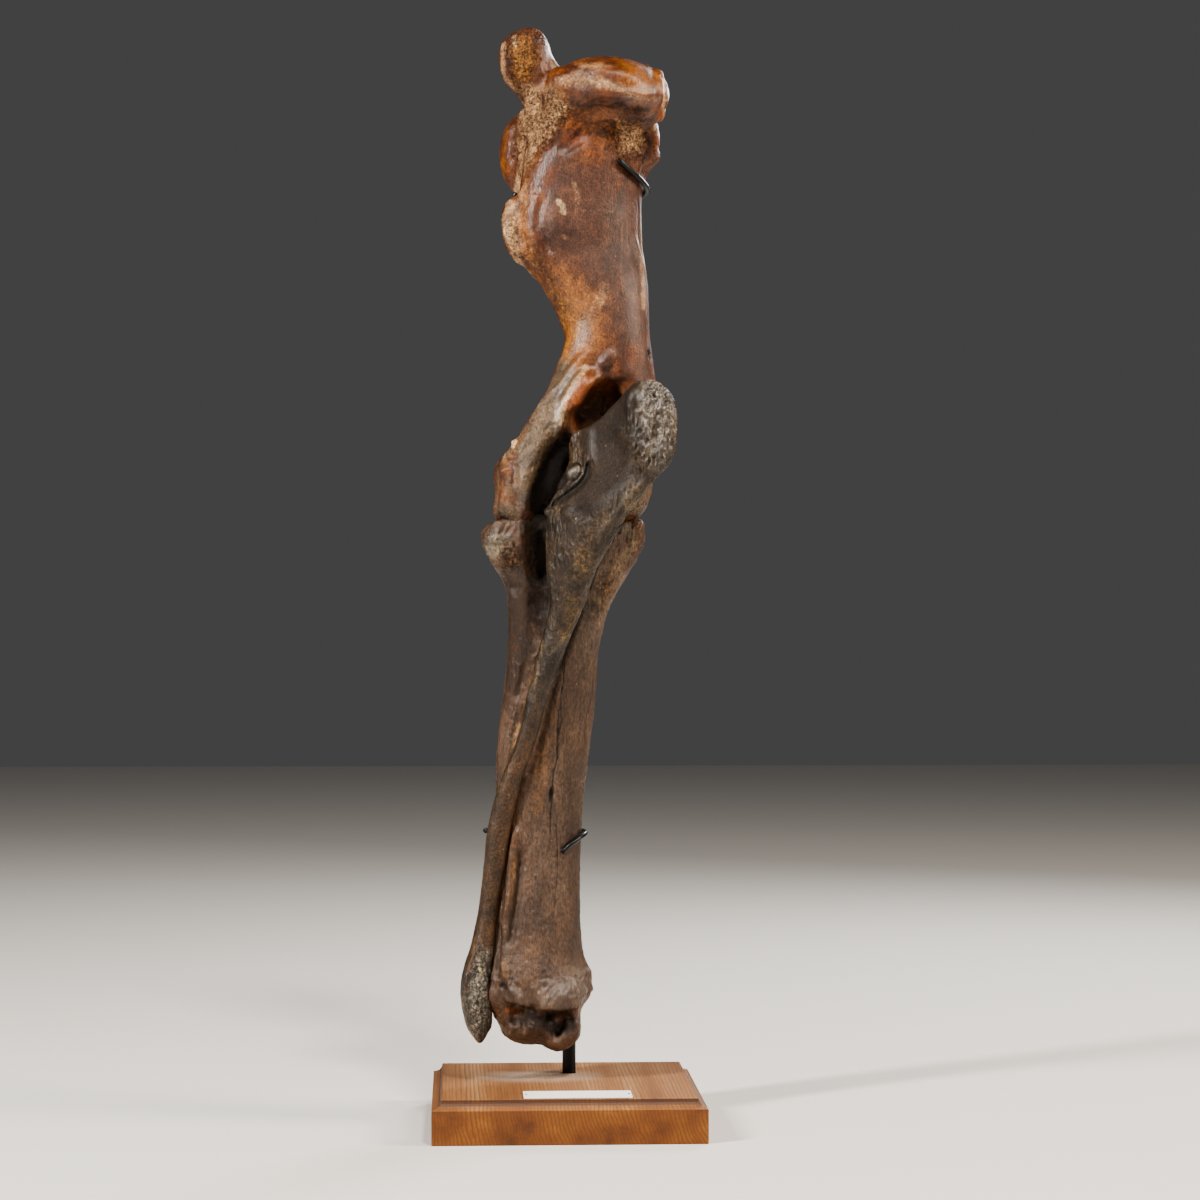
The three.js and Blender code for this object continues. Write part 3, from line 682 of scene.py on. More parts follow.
humerus_material = fossil_bone(
    "varnished_fossil_bone_red_brown",
    [(0.26, "#30170d"), (0.40, "#462413"), (0.50, "#593018"), (0.60, "#6d3e1c"), (0.74, "#845327")],
    [(0.26, "#2b1810"), (0.42, "#3d251a"), (0.52, "#4c3024"), (0.62, "#5b3c2c"), (0.76, "#6e4d38")],
    # the dark finish is painted shade in hollows, clefts and under the head, and darkens the cracks; cream is
    # partly painted highlight
    [("amber", "#5a3417", "#9a6434"), ("gold", "#68411f", "#aa7a47"), ("grey", "#3b2e24", "#74604b"),
     ("tan", "#76533a", "#c8a27c"), ("redbrown", "#43200f", "#855032"), ("orange", "#5c2d16", "#955730"),
     ("cream", "#9d7c55", "#dcc4a0"), ("dark", "#0b0604", "#1a100a")],
    streak=1.3, fibre_mm=1.4, fibre_depth=0.4, speckle=0.46, gloss=0.31, varnish=0.45, film_relief=0.5)
humerus.hand_over(humerus_material, "humerus")

# ---- Radius ----
# The fore-arm's main bone: flat and straight, with a knob on each side of the elbow joint and a
# hollowed wrist joint below. Fossil bone under a thin satin varnish; its grain runs straight down
# and long drying cracks follow it.
RADIUS_CELL_MM = 1.05
radius = Bone("radius_bone", "radius", RADIUS_CELL_MM)
# Drying cracks, in the order of the humerus's.
radius_cracks = [
    ("rear", 1.3, 0.8, 0.6, 0.9, "-1,328 -2,315 -4,303 -3,288 -6,276"),
    ("rear", 1.3, 0.9, 0.65, 0.9, "-5,296 -6,280 -6,261 -9,250 -10,236 -11,216 -11,207"),
    ("rear", 1.3, 0.7, 0.55, 0.8, "-7,214 -6,196 -6,182 -8,161 -9,148"),
    ("front", 1.6, 1.2, 0.6, 0.85, "2,340 4,318 1,296 4,272 2,252"),
    ("front", 1.6, 1.0, 0.6, 0.85, "-18,286 -20,268 -17,250 -19,236"),
    ("inner", 1.6, 1.1, 0.6, 0.85, "4,330 6,308 3,288 5,268"),
    ("outer", 1.6, 1.1, 0.6, 0.85, "6,270 4,250 7,230 6,214"),
]
strip_groove = "-30,250 -36,233 -39,216 -41,198 -43,185 -46,170 -48,157 -50,140 -51,121"
elbow_flank = "-24,440 30,440 26,398 -20,398"
radius.press("rear", [
    # the knob on the outer side and the hollow under it
    (6, 2.4, "-57,412 -52,417 -46,417"),
    (6, 1.8, "-44,410 -38,408 -36,400"),
    (10, -3.5, "-48,394 -40,388 -33,378"),
    (12, -4, "-20,430 -22,416 -22,402 -20,388"),
    (6, 2.4, "54,429 52,418"),
    (4, -1.4, "46,424 44,410"),
    # the raised borders of the seat of the ulna
    (3.5, 1.2, "-22,330 -24,318 -27,305 -34,294"),
    (4, -2.2, "-29,335 -31,318 -36,300"),
    (5, -2.4, "40,436 26,414 18,396 10,374"),
    (4, -2, "12,372 2,345 -7,315 -14,290 -20,268 -29,246"),
    (4, 1.2, "-38,284 -40,262 -43,240"),
    (3.2, -1.8, "-34,292 -38,275 -39,252"),
    # the long groove beside the ulna's strip, the ridge along it, and the step beyond
    (2.8, -1, strip_groove),
    (4.6, 3, "-35,214 -38,196 -39.5,178 -41,160 -43,144"),
    (4.6, -3.4, "-31,200 -33,182 -35,166 -37,150 -39,138 -41,126"),
])
for side, width, depth, darkening_width, darkening, line in radius_cracks:
    radius.press(side, [(width, -depth, line)])
radius.press("rear", [
    # short cracks, and a chip out of the edge of the long one
    (1.3, -0.7, "-19,262 -21,240 -22,220"),
    (1.3, -0.6, "10,300 9,284 10,262"),
    (2.2, -3.2, "-10.2,238.5 -10.8,231"),
    # the wrist: groove and knob beside the styloid, and the brow over the joint
    (3, -2.6, "-48,145 -48,132 -49,118 -50,104"),
    (5, 2, "-45,120 -44,106"),
    (4.5, -2.6, "-47,102 -43,99"),
    (5, 3.6, "-43,103 -36,95 -29,88"),
    (11, 3.4, "-12,94 -4,96 6,97 12,98"),
    (4, 2, "-14,87 -2,86 11,87"),
    (4, 2, "17,97 17,93"),
])
radius.press("outer", [(13, 4.5, "-14,102 -10,90 -6,78 -2,68")])
radius.press("front", [
    # in front: the tuberosity under the elbow, the tendon grooves over the wrist
    (11, 3, "34,398 33,384"),
    (8, -1.8, "8,400 -6,392"),
    (7, -2.6, "-22,128 -23,104 -24,78"),
    (7, -2.6, "6,128 6,104 7,78"),
    (6, 2, "-8,130 -8,106 -8,82"),
    (6, 1.8, "20,120 21,98 20,76"),
])
radius.press("inner", [(8, 2.4, "-2,112 -4,98")])
# the rims and the floor of the elbow joint, the seat of the ulna, and the brow over the wrist
radius.pull("rear", [
    (9, (0, -2, 3.5), "-50,426 -44,428 -34,430"),
    (8, (4, 0, -1), "-59,426 -57,431"),
    (6, (-2.5, 0, -1), "-60,413"),
    (17, (0, 10, 0), "-15,434 -16,412 -15,398"),
    (15, (0, 5, 0), "-16,392 -17,374"),
    (13, (0, 2.5, 0), "-18,370 -19,350"),
    (9, (0, -2.5, -1.5), "-12,92 0,93 12,94"),
    (13, (1, -1, 8), "40,431 48,431 54,427"),
])
radius.pull("inner", [(12, (1, 0, 5), "-12,430 2,430")])
radius.smooth(1)
radius.settle()
# the hollows and knobs of the wrist joint, under the brow
radius.press("rear", [
    (8, -7.5, "-16,80 -3,80 9,81"),
    (9, -7, "-40,84 -30,82"),
    (4, -2, "-26,85 -24,79"),
    (4, 3, "-18,90 -18,76"),
    (4, -2.5, "-40,75 -34,74"),
    (4, 3, "-41,69 -34,71 -30,67"),
    (4.5, 3.6, "-28,71 -21,71"),
    (11, -6, "-9,69 -2,67"),
    (4, 2.6, "6,78 8,68 5,59"),
    (4, 1.6, "-16,60 -8,57 0,56"),
])
radius.smooth(1)
radius.settle()
# the sharp lower edge of the brow hangs a little over the hollows
radius.pull("rear", [
    (4.5, (0, -2.2, -2.6), "-16,87 -4,86.5 10,87.5"),
    (4, (0, -1.6, -2.0), "-42,92 -34,89.5 -27,88"),
])
radius.smooth(1)
radius.settle()

# Finishes: painted shade in the joints, the cleft under the elbow, the grooves and the wrist's hollows, the
# cracks darkened, a dark brown zone beside the ulna that is partly painted shade, grey worn knobs, and a grey
# painted highlight on the wrist's brow.
radius.patch("rear", {
    "spongy": [(4, 1, "-48,417 -34,412 -34,396 -44,398"), (6, 0.6, "20,386 34,400 36,380 18,356")],
    "grey": [
        (4, 0.9, "-62,412 -52,421 -42,420 -48,404 -58,402"), (10, 0.45, "22,398 48,424 42,384 16,330 6,340")],
    "rough": [
        (9, 0.8, "-62,424 -30,430 -32,404 -60,402"), (5, 0.8, "42,436 60,436 56,408 36,396"),
        (6, 0.65, "-22,108 20,112 18,88 -24,88"), (6, 0.35, "-50,112 -24,106 -26,88 -46,96")],
    # painted shade: in the wrist's hollows under the brow, and in the cleft under the elbow beside the ulna
    "dark": [
        (6, 0.75, "-40,84 -30,86 8,84 10,66 -10,62 -38,72"),
        (12, 1.2, "-29,440 -29,428 -27,404 -22,386 -16,380 0,384 6,410 4,440")],
    # a dark brown zone under the elbow beside the ulna, partly painted shade where it lies in the cleft's
    # shadow
    "umber_and_painted_shade": [(10, 0.9, "-50,396 -14,396 -22,330 -40,290 -52,300 -48,350")],
    "cool": [(8, 0.8, "-2,380 22,380 12,250 12,110 -20,100 -30,150 -12,260")],
    "amber": [(10, 0.25, "-46,380 -24,380 -30,300 -36,240 -54,200 -50,260")],
    "tan": [(8, 0.48, "22,390 44,412 42,380 20,348")],
})
radius.patch("front", {
    "grey": [(9, 0.6, "-54,420 54,420 46,396 -46,396"), (14, 0.55, "-46,112 24,116 24,60 -44,60")],
    "rough": [(12, 0.6, "-54,426 54,426 40,380 -44,396")],
    "tan": [(7, 0.5, "22,404 44,404 42,378 26,374")],
    "amber": [(16, 0.6, "-30,330 -4,340 -8,220 -30,210")],
})
radius.patch("inner", {"rough": [(10, 0.6, elbow_flank)]})
radius.patch("outer", {"rough": [(10, 0.7, elbow_flank)]})
radius.tint("rear", {
    "tan": [
        (4.5, 0.45, "-45,413 -39,409 -36,402"), (4, 0.4, "54,430 54,420 50,412"),
        (2, 0.3, "-22,330 -25,316 -28,304 -34,294"), (5, 0.6, "-33,282 -36,268"),
        (1.4, 0.5, "-37,186 -37,176"), (3, 0.5, "-44,118 -43,108")],
    # painted shade: under the knob, over the joint's rim and down the cleft under the elbow, in the grooves,
    # the chip and the wrist's hollows
    "dark": [
        (10, 0.35, "-42,390 -36,382 -30,372"), (6, 1.2, "-28,436 -14,438 0,436"),
        (14, 0.7, "-16,386 -18,366"), (13, 0.35, "-19,362 -20,346"),
        (3.5, 0.9, "42,434 28,414 19,396 11,374"), (2, 0.6, "11,370 2,345 -7,315 -14,290 -20,268"),
        (4, 0.5, "16,372 26,366"), (2.5, 0.45, "-34,296 -38,278 -39,255"), (4, 0.4, "-31,345 -29,330"),
        (1.3, 0.35, strip_groove), (2.6, 0.5, "-32,192 -34,175 -36,158 -39,140"),
        (1.8, 1, "-10.2,239 -10.8,231"), (3, 0.6, "-39,76 -33,74"), (3.5, 0.6, "-26,86 -24,79"),
        (5, 0.6, "-8,70 -1,68"), (2.5, 0.7, "-46,101 -43,99")],
    # the second grey stroke, on the wrist's brow, is partly a painted highlight
    "grey": [(5, 0.5, "46,426 50,416 44,406"), (8, 0.3, "-14,94 -2,97 12,98")],
    "orange": [
        (2.5, 0.9, "40,434 50,433"), (3, 0.3, "-35,222 -37,205 -38,190"), (4.5, 1.2, "-12,79 -4,77"),
        (3.5, 0.75, "-41,82 -33,80")],
    "rough": [(5, 0.6, "-22,334 -25,316 -28,304 -34,294 -37,276")],
    "amber": [
        (3, 0.35, "-22,340 -25,322 -29,300 -31,276"), (4, 0.25, "-36,224 -39,196 -42,165 -46,146"),
        (3, 0.5, "-37,190 -39,174 -41,158"), (6, 0.45, "-14,300 -17,280 -18,252 -20,225"),
        (4, 0.6, "-14,81 0,79 9,81"), (5, 0.5, "-46,80 -32,82"), (3, 0.6, "-10,56 1,55"),
        (3.5, 0.5, "-50,78 -44,68 -34,60")],
    "glazed": [
        (9, 1, "-14,95 -2,97 12,99"), (4, 0.7, "-40,98 -30,92"), (9, 0.2, "-40,80 -30,76 -8,70 4,66"),
        (7, 0.8, "-56,410 -50,416 -42,414")],
    "spongy": [(8, 0.15, "-14,92 -2,94 12,96")],
})
# painted shade on the joint's face under the humerus
radius.tint("top", {"dark": [(7, 1, "-28,0 -14,-2 0,0")]})
# each crack is darkened along its line
for side, width, depth, darkening_width, darkening, line in radius_cracks:
    radius.tint(side, {"dark": [(darkening_width, darkening, line)]})
radius.ends("spongy", 84, 424, 16, 0.2)
radius.ends("rough", 440, 900, 20, 0.14)
radius.weather([(30, 0.6, 2.5), (8, 0.3, 3.0), (2.4, 0.3, 5.0), (1.8, 0.2, 1.6)], (3.0, 1.7, 1.8), (2.8, 1.8))
radius.stand_off(humerus, (0, 0, -1))
radius_material = fossil_bone(
    "varnished_fossil_bone_brown",
    [(0.24, "#312218"), (0.38, "#402d20"), (0.50, "#4d3728"), (0.62, "#5a4230"), (0.76, "#6c503b")],
    [(0.24, "#2c1f17"), (0.40, "#3a2b21"), (0.52, "#47362a"), (0.62, "#544133"), (0.76, "#644d3c")],
    # the dark finish is painted shade in hollows, grooves, the joint and the cleft, and darkens the cracks;
    # the dark brown zone beside the ulna is partly painted shade
    [("umber_and_painted_shade", "#160d06", "#352112"), ("amber", "#4a301a", "#7c5836"), ("grey", "#43392e", "#85765f"),
     ("tan", "#6a4a32", "#ab8a66"), ("orange", "#5c2f14", "#93562c"), ("cream", "#a88450", "#dac69c"),
     ("dark", "#0e0906", "#20160e")],
    streak=2.0, fibre_mm=0.9, fibre_depth=0.6, speckle=0.42, gloss=0.32, varnish=0.38, film_relief=0.8)
radius.hand_over(radius_material, "radius")

# ---- Ulna ----
# The elbow bone: a flat olecranon plate with a rough tuber behind, a thin shaft laid down the back
# of the radius, and a pointed styloid at the wrist. Darker, greyer fossil bone, granular all over
# but for the plate.
ULNA_CELL_MM = 0.8
ulna = Bone("ulna_bone", "ulna", ULNA_CELL_MM)
# the hollow upper edge of the plate, between the beak and the tuber
ulna.pare(0, 2, "2,493 10,494 16,496 23,500.5 29,507 34,512 40,519 47,526", 1)
ulna.smooth(2)
ulna.settle()
# both edges of the styloid, narrowing to its point
ulna.pare(2, 0, "58,-61 62,-58 69,-53 74,-50.5 82,-49", 1, fade=1.0)
ulna.pare(2, 0, "56,-63 61.8,-66.6 71,-71.6 83,-74.4 92,-75", -1, fade=1.0)
ulna.smooth(2)
ulna.pull("rear", [(7, (0, 0, -4.5), "-61.5,64"), (5, (-3, 0, 0), "-13,437")])
ulna.settle()
ulna.press("rear", [
    # the hollow plate, its front ridge, and the nub and crease at the notch's lower lip
    (13, -2.4, "20,492 28,484 34,474 30,462"),
    (5, 3, "-13,439 -13,432"),
    (8, 1.8, "-1,440 0,428"),
    (10, -1.4, "8,440 10,428"),
    (5, 2, "57,459 40,441 26,423 18,406"),
    (4, 1.6, "-12,402 -11,388 -8,368"),
    # the tuber
    (6, 2.2, "46,526 42,510 44,486 51,470"),
    (4, 1.4, "66,522 71,506 70,490"),
    (5, -2.4, "60,512 62,496 60,478"),
    (4, 1.6, "54,506 54,488"),
    (3, 1.2, "-62,128 -70,112 -73,96"),
])
ulna.smooth(1)
ulna.settle()
# the lower lip of the notch: a crease, a mound under it, and the nub on the mound
lip_crease = "15,468 13.5,461 9,454.5 4,450.5 -3,446 -9,441.5"
ulna.pull("rear", [(9, (0, -2.0, 0), "14,491 14,480 15,472")])
ulna.settle()
ulna.pull("rear", [(4.8, (0, 4.0, 0), lip_crease), (7.0, (0, -3.0, 0), "0,457 -4,452.5 -8,449")])
ulna.settle()
ulna.pull("rear", [(9, (0, -2.4, 0), "5,462 0,457")])
ulna.settle()
ulna.knob("rear", (5.4, 463.0), 7.8, 4.0)
ulna.smooth(3)
ulna.settle()

# Finishes: the tuber and the styloid are pale, rough and catch the light, the plate is smooth and
# dark, and the shaft is browner. The middle of the tuber, the crease under the nub and the line beside
# the radius are darkened as painted shade, and a pale dab on the nub is a painted highlight.
tuber = "47,528 60,530 74,520 76,500 74,478 64,460 56,466 49,484 45,506"
styloid = "-62,126 -54,126 -53,92 -56,72 -62,62 -70,78 -72,92 -68,112"
ulna.patch("rear", {
    "rough": [(5, 1, tuber), (4, 0.7, styloid)],
    "pale": [(5, 0.42, tuber), (5, 0.72, styloid)],
    "glazed": [(7, 0.8, tuber), (5, 0.5, styloid)],
    # painted shade: the tuber's middle, over its groove
    "dark": [(6, 0.4, "56,512 66,510 70,480 60,466 56,486")],
    "spongy": [(4, 0.8, styloid)],
    "brown": [(18, 1.3, "-34,292 -12,292 -26,230 -40,160 -46,122 -82,112 -70,150 -50,220")],
})
for side in ("inner", "outer"):
    ulna.patch(side, {"rough": [(4, 0.9, "-82,534 -64,534 -62,480 -72,456 -84,470")]})
ulna.tint("rear", {
    "smooth": [
        (16, 1.3, "20,490 30,482 32,464 14,448"), (13, 1.3, "26,496 34,506 40,516"),
        (10, 0.8, "4,450 6,438 3,424")],
    # painted highlight: a pale dab on the nub
    "pale": [(4, 0.5, "3,463 7,466")],
    "glazed": [(5, 0.15, "2,464 7,465"), (6, 0.2, "14,490 14,478")],
    # painted shade: the crease under the nub, and the shadow line beside the radius
    "dark": [(3, 0.85, lip_crease), (5, 0.6, "60,452 48,440 36,424")],
    "tan": [
        (7, 0.4, "15,418 12,404 8,390"), (7, 0.42, "4,374 4,362 0,350"),
        (1.6, 0.45, "-17,345 -20,331 -23,310"), (1.8, 0.35, "-63,140 -67,122 -71,104"),
        (1.4, 0.3, "-60,132 -65,116 -67,106"), (2, 0.5, "-74,90 -71,72 -66,64 -62,60"),
        (1.8, 0.4, "-53,96 -53,84 -56,70 -61,62")],
    "orange": [(3, 0.3, "11,412 8,402"), (2.4, 0.45, "-73,102 -72,97"), (2, 0.3, "-64,64 -61,61")],
    "cream": [(1.4, 0.8, "-62,112 -60,110")],
})
ulna.ends("rough", 0, 220, 120, 0.3)
ulna.weather([(22, 0.35, 2.0), (9, 0.3, 1.6), (1.8, 0.14, 1.1)], (3.0, 2.2, 2.8), (2.2, 1.4))
ulna.stand_off(humerus, (0, -1, 0))
ulna.stand_off(radius, (-1, -0.6, 0))
ulna_material = fossil_bone(
    "granular_fossil_bone_grey",
    [(0.26, "#130d08"), (0.40, "#271d13"), (0.52, "#392c1f"), (0.62, "#4d3e2d"), (0.76, "#6e5d43")],
    [(0.26, "#130f0c"), (0.42, "#241e18"), (0.52, "#342c25"), (0.62, "#463c33"), (0.76, "#61574a")],
    # the dark finish is painted shade in the crease, the tuber's middle and beside the radius
    [("smooth", "#1a120c", "#30241a"), ("brown", "#23180f", "#4c3623"), ("tan", "#4c3a22", "#806744"),
     ("orange", "#52321a", "#81562f"), ("pale", "#4a433b", "#a89d8e"), ("cream", "#a08850", "#dccb9c"),
     ("dark", "#12100d", "#29231c")],
    streak=1.2, fibre_mm=1.2, fibre_depth=0.2, speckle=0.65, gloss=0.37, varnish=0.18, film_relief=0.6)
ulna.hand_over(ulna_material, "ulna")

# ---- Post and claws ----
# The mount: a 10 mm mild steel rod bent up behind the bones, with two 4.5 mm claws brazed to it and
# closed round the humerus and the radius. Filed, then sprayed with satin black enamel.
STEEL_ROUNDING = 2


def black_enamel(name, sheen):
    """Satin black enamel on steel: nearly black, an uneven skin, and patches of the sheen colour where it has
    rubbed; on the lower claw that colour is a pale blue-grey painted sheen.
    """
    material, shader, add = new_material(name)
    place = add("TexCoord", give="Object")
    rub = add("TexNoise", {"Vector": place, "Scale": per_mm(9), "Detail": 8.0, "Roughness": 0.7})
    rubbed_and_painted_sheen = add("MapRange", [rub, 0.58, 0.68], interpolation_type="SMOOTHSTEP")
    # rubbed patches take the sheen colour: plain wear on the black claw, a painted sheen on the blue one
    colour = add("Mix", {0: rubbed_and_painted_sheen, 6: linear("#060607"), 7: linear(sheen)}, give=2, data_type="RGBA")
    peel = add("TexNoise", {"Vector": place, "Scale": per_mm(1.1), "Detail": 2.0})
    bump = add("Bump", {"Height": peel, "Distance": 0.06 * MM, "Strength": 1.0})
    roughness = add("MapRange", [rub, 0.3, 0.7, 0.26, 0.42])
    feed(shader, {"Base Color": colour, "Roughness": roughness, "Normal": bump, "Specular IOR Level": 0.3})
    return material


steel_black = black_enamel("satin_black_enamel_on_steel", "#18191b")
# the blue claw's pale blue-grey rubbed patches are a painted sheen of the steel
steel_blue = black_enamel("blue_black_enamel_with_painted_sheen_on_steel", "#5d6670")
for name, cad, material in [
    ("post_rod", "steel_post", steel_black),
    ("upper_claw_rod", "upper_claw", steel_black),
    ("lower_claw_rod", "lower_claw", steel_blue),
]:
    rod = make_object(welded(cad), name)
    rod.data.shade_smooth()
    rod.data.materials.append(material)
    rounding = rod.modifiers.new("rounding", "SUBSURF")
    rounding.levels = rounding.render_levels = STEEL_ROUNDING
    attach(rod, "root")
    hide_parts(cad)

# ---- Base ----
# A square block of hardwood, its front sawn across the rings, with a cove worked round the top
# edge and a bore for the post. Oiled, so the end grain on the front is a warm orange-brown.
BASE_SIDE_MM = 190.0
BASE_FACE_MM = 24.0
COVE_MM = 6.5
COVE_STEPS = 8
ARRIS_MM = 0.7
ARRIS_FROM_DEG = 50.0
ARRIS_STEPS = 3
BORE_MM = 10.6
BORE_DEPTH_MM = 20.0
BORE_SIDES = 48
RING_MM = 2.6
# the band of painted shade under the cove's lip: its lowest and highest heights, how far out it reaches, and
# how strong it is
QUIRK_FROM_MM, QUIRK_TO_MM, QUIRK_REACH_MM = 26.5, 30.3, 92.0
QUIRK_PAINTED_SHADE = 0.75


def in_order(piece):
    """Lists a mesh's faces by their points: a bevel and a sphere leave them in a different order
    on each run. Gives the piece back."""
    mesh = piece.data
    points = [v.co[:] for v in mesh.vertices]
    rings = []
    for face in mesh.polygons:
        ring = list(face.vertices)
        first = ring.index(min(ring))
        rings.append(ring[first:] + ring[:first])
    mesh.clear_geometry()
    mesh.from_pydata(points, [], sorted(rings))
    return piece


def raise_top(bm, face, lift, inset):
    """Draws a square face up by lift mm, and in by inset mm on every side; gives the new top."""
    made = bmesh.ops.extrude_face_region(bm, geom=[face])["geom"]
    if any(len(e.link_faces) > 2 for e in face.edges):  # only the underside stays
        bmesh.ops.delete(bm, geom=[face], context="FACES_ONLY")
    corners = [v for v in made if isinstance(v, bmesh.types.BMVert)]
    half = max(abs(v.co.x) for v in corners)
    for v in corners:
        v.co.x *= (half - inset * MM) / half
        v.co.y *= (half - inset * MM) / half
        v.co.z += lift * MM
    return next(f for f in made if isinstance(f, bmesh.types.BMFace))


def oiled_hardwood(name):
    """Oiled wood: rings that cross the front as steep arcs and run straight to the back, darker
    late wood, fine pores, a paler top, a grey rubbed patch round the foot of the post, and a band of
    painted shade at the top of the cove, under its lip."""
    material, shader, add = new_material(name)
    place = add("TexCoord", give="Object")
    # the log's heart lies well to the right of the block and above it
    heart = add("Mapping", {"Vector": place, "Location": (-0.150, 0.0, -0.045), "Scale": (1.0, 0.04, 1.0)})
    wander = add("TexNoise", {"Vector": heart, "Scale": per_mm(30), "Detail": 4.0}, give="Color")
    bent = add("VectorMath", [wander, (0.012, 0.012, 0.012), heart], operation="MULTIPLY_ADD")
    rings = add("TexWave", {"Vector": bent, "Scale": 2 * math.pi / (20 * RING_MM * MM), "Distortion": 0.6,
                            "Detail": 2.0, "Detail Scale": 1.5}, give="Fac",
                wave_type="RINGS", rings_direction="Y", wave_profile="SAW")
    late = add("MapRange", [rings, 0.35, 1.0], interpolation_type="SMOOTHSTEP")
    cloud = add("TexNoise", {"Vector": heart, "Scale": per_mm(28), "Detail": 5.0, "Roughness": 0.6})
    side_tone = add("ValToRGB", {"Fac": cloud},
                    stops=[(0.30, "#50290a"), (0.45, "#6c3d12"), (0.60, "#7e4c1b"), (0.75, "#986228")])
    top_tone = add("ValToRGB", {"Fac": cloud},
                   stops=[(0.30, "#744d2f"), (0.50, "#936742"), (0.70, "#a98059")])
    faces_up = add("SeparateXYZ", {"Vector": add("NewGeometry", give="Normal")}, give="Z")
    lift = add("MapRange", [faces_up, 0.5, 0.95])
    colour = add("Mix", {0: lift, 6: side_tone, 7: top_tone}, give=2, data_type="RGBA")
    pores = add("Mapping", {"Vector": place, "Scale": (1.0, 0.03, 1.0)})
    hair = add("TexNoise", {"Vector": pores, "Scale": per_mm(0.8), "Detail": 4.0, "Roughness": 0.7})
    ring_strength = add("MapRange", [cloud, 0.35, 0.6, 0.10, 0.42])
    darker = add("Math", [late, ring_strength], operation="MULTIPLY")
    hair_tone = add("MapRange", [hair, 0.35, 0.65, 0.88, 1.08])
    tone = add("Math", [hair_tone, darker], operation="SUBTRACT")
    colour = add("HueSaturation", {"Value": tone, "Color": colour})
    from_foot = add("Mapping", {"Vector": place, "Location": (0.018, -0.030, 0.0), "Scale": (1.0, 1.6, 1.0)})
    away = add("VectorMath", [from_foot], give="Value", operation="LENGTH")
    rubbed = add("MapRange", [away, 0.065, 0.035, 0.0, 0.55], interpolation_type="SMOOTHSTEP")
    rubbed = add("Math", [rubbed, lift], operation="MULTIPLY")
    colour = add("Mix", {0: rubbed, 6: colour, 7: linear("#a89a8a")}, give=2, data_type="RGBA")
    # painted shade in the band at the top of the cove, under its lip
    quirk_painted_shade = add("Attribute", give="Fac", attribute_name="quirk_painted_shade")
    colour = add("Mix", {0: quirk_painted_shade, 6: colour, 7: linear("#3a2010")}, give=2, data_type="RGBA")
    raised = add("Math", [hair, darker], operation="ADD")
    bump = add("Bump", {"Height": raised, "Distance": 0.12 * MM, "Strength": 1.0})
    feed(shader, {"Base Color": colour, "Normal": bump, "Roughness": 0.48})
    return material


block = bmesh.new()
bmesh.ops.create_grid(block, x_segments=1, y_segments=1, size=BASE_SIDE_MM / 2 * MM)
top = raise_top(block, next(iter(block.faces)), BASE_FACE_MM, 0.0)
for step in range(COVE_STEPS):
    turns = [math.pi / 2 * (step + i) / COVE_STEPS for i in (0, 1)]
    top = raise_top(block, top, COVE_MM * (math.cos(turns[0]) - math.cos(turns[1])),
                    COVE_MM * (math.sin(turns[1]) - math.sin(turns[0])))
bmesh.ops.recalc_face_normals(block, faces=block.faces)
arrises = [e for e in block.edges
           if len(e.link_faces) == 2 and e.calc_face_angle() > math.radians(ARRIS_FROM_DEG)]
bmesh.ops.bevel(block, geom=arrises, offset=ARRIS_MM * MM, offset_type="OFFSET", segments=ARRIS_STEPS,
                profile=0.5, affect="EDGES", clamp_overlap=True, material=-1)
base = in_order(make_object(block, "base_block"))

# the bore, under the middle of the post's foot
foot = np.array([v.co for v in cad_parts["steel_post"].data.vertices])
foot = foot[foot[:, 2] < foot[:, 2].min() + 2 * MM].mean(0)
cutter = bmesh.new()
bmesh.ops.create_cone(cutter, cap_ends=True, segments=BORE_SIDES, radius1=BORE_MM / 2 * MM,
                      radius2=BORE_MM / 2 * MM, depth=2 * BORE_DEPTH_MM * MM)
bmesh.ops.translate(cutter, verts=cutter.verts, vec=(foot[0], foot[1], (BASE_FACE_MM + COVE_MM) * MM))
bore = in_order(make_object(cutter, "bore"))
drill = base.modifiers.new("drill", "BOOLEAN")
drill.object = bore
drill.solver = "EXACT"
apply_modifiers(base)
bpy.data.objects.remove(bore)

# painted shade in the narrow band at the top of the cove, under its lip
heights = np.array([v.co.z for v in base.data.vertices]) / MM
spread = np.array([max(abs(v.co.x), abs(v.co.y)) for v in base.data.vertices]) / MM
in_quirk = (heights > QUIRK_FROM_MM) & (heights < QUIRK_TO_MM) & (spread < QUIRK_REACH_MM)
quirk_shade_layer = base.data.attributes.new("quirk_painted_shade", "FLOAT", "POINT")
quirk_shade_layer.data.foreach_set("value", (QUIRK_PAINTED_SHADE * in_quirk).astype(np.float32))
base.data.materials.clear()
base.data.materials.append(oiled_hardwood("oiled_hardwood_end_and_long_grain"))
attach(base, "root")
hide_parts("base")

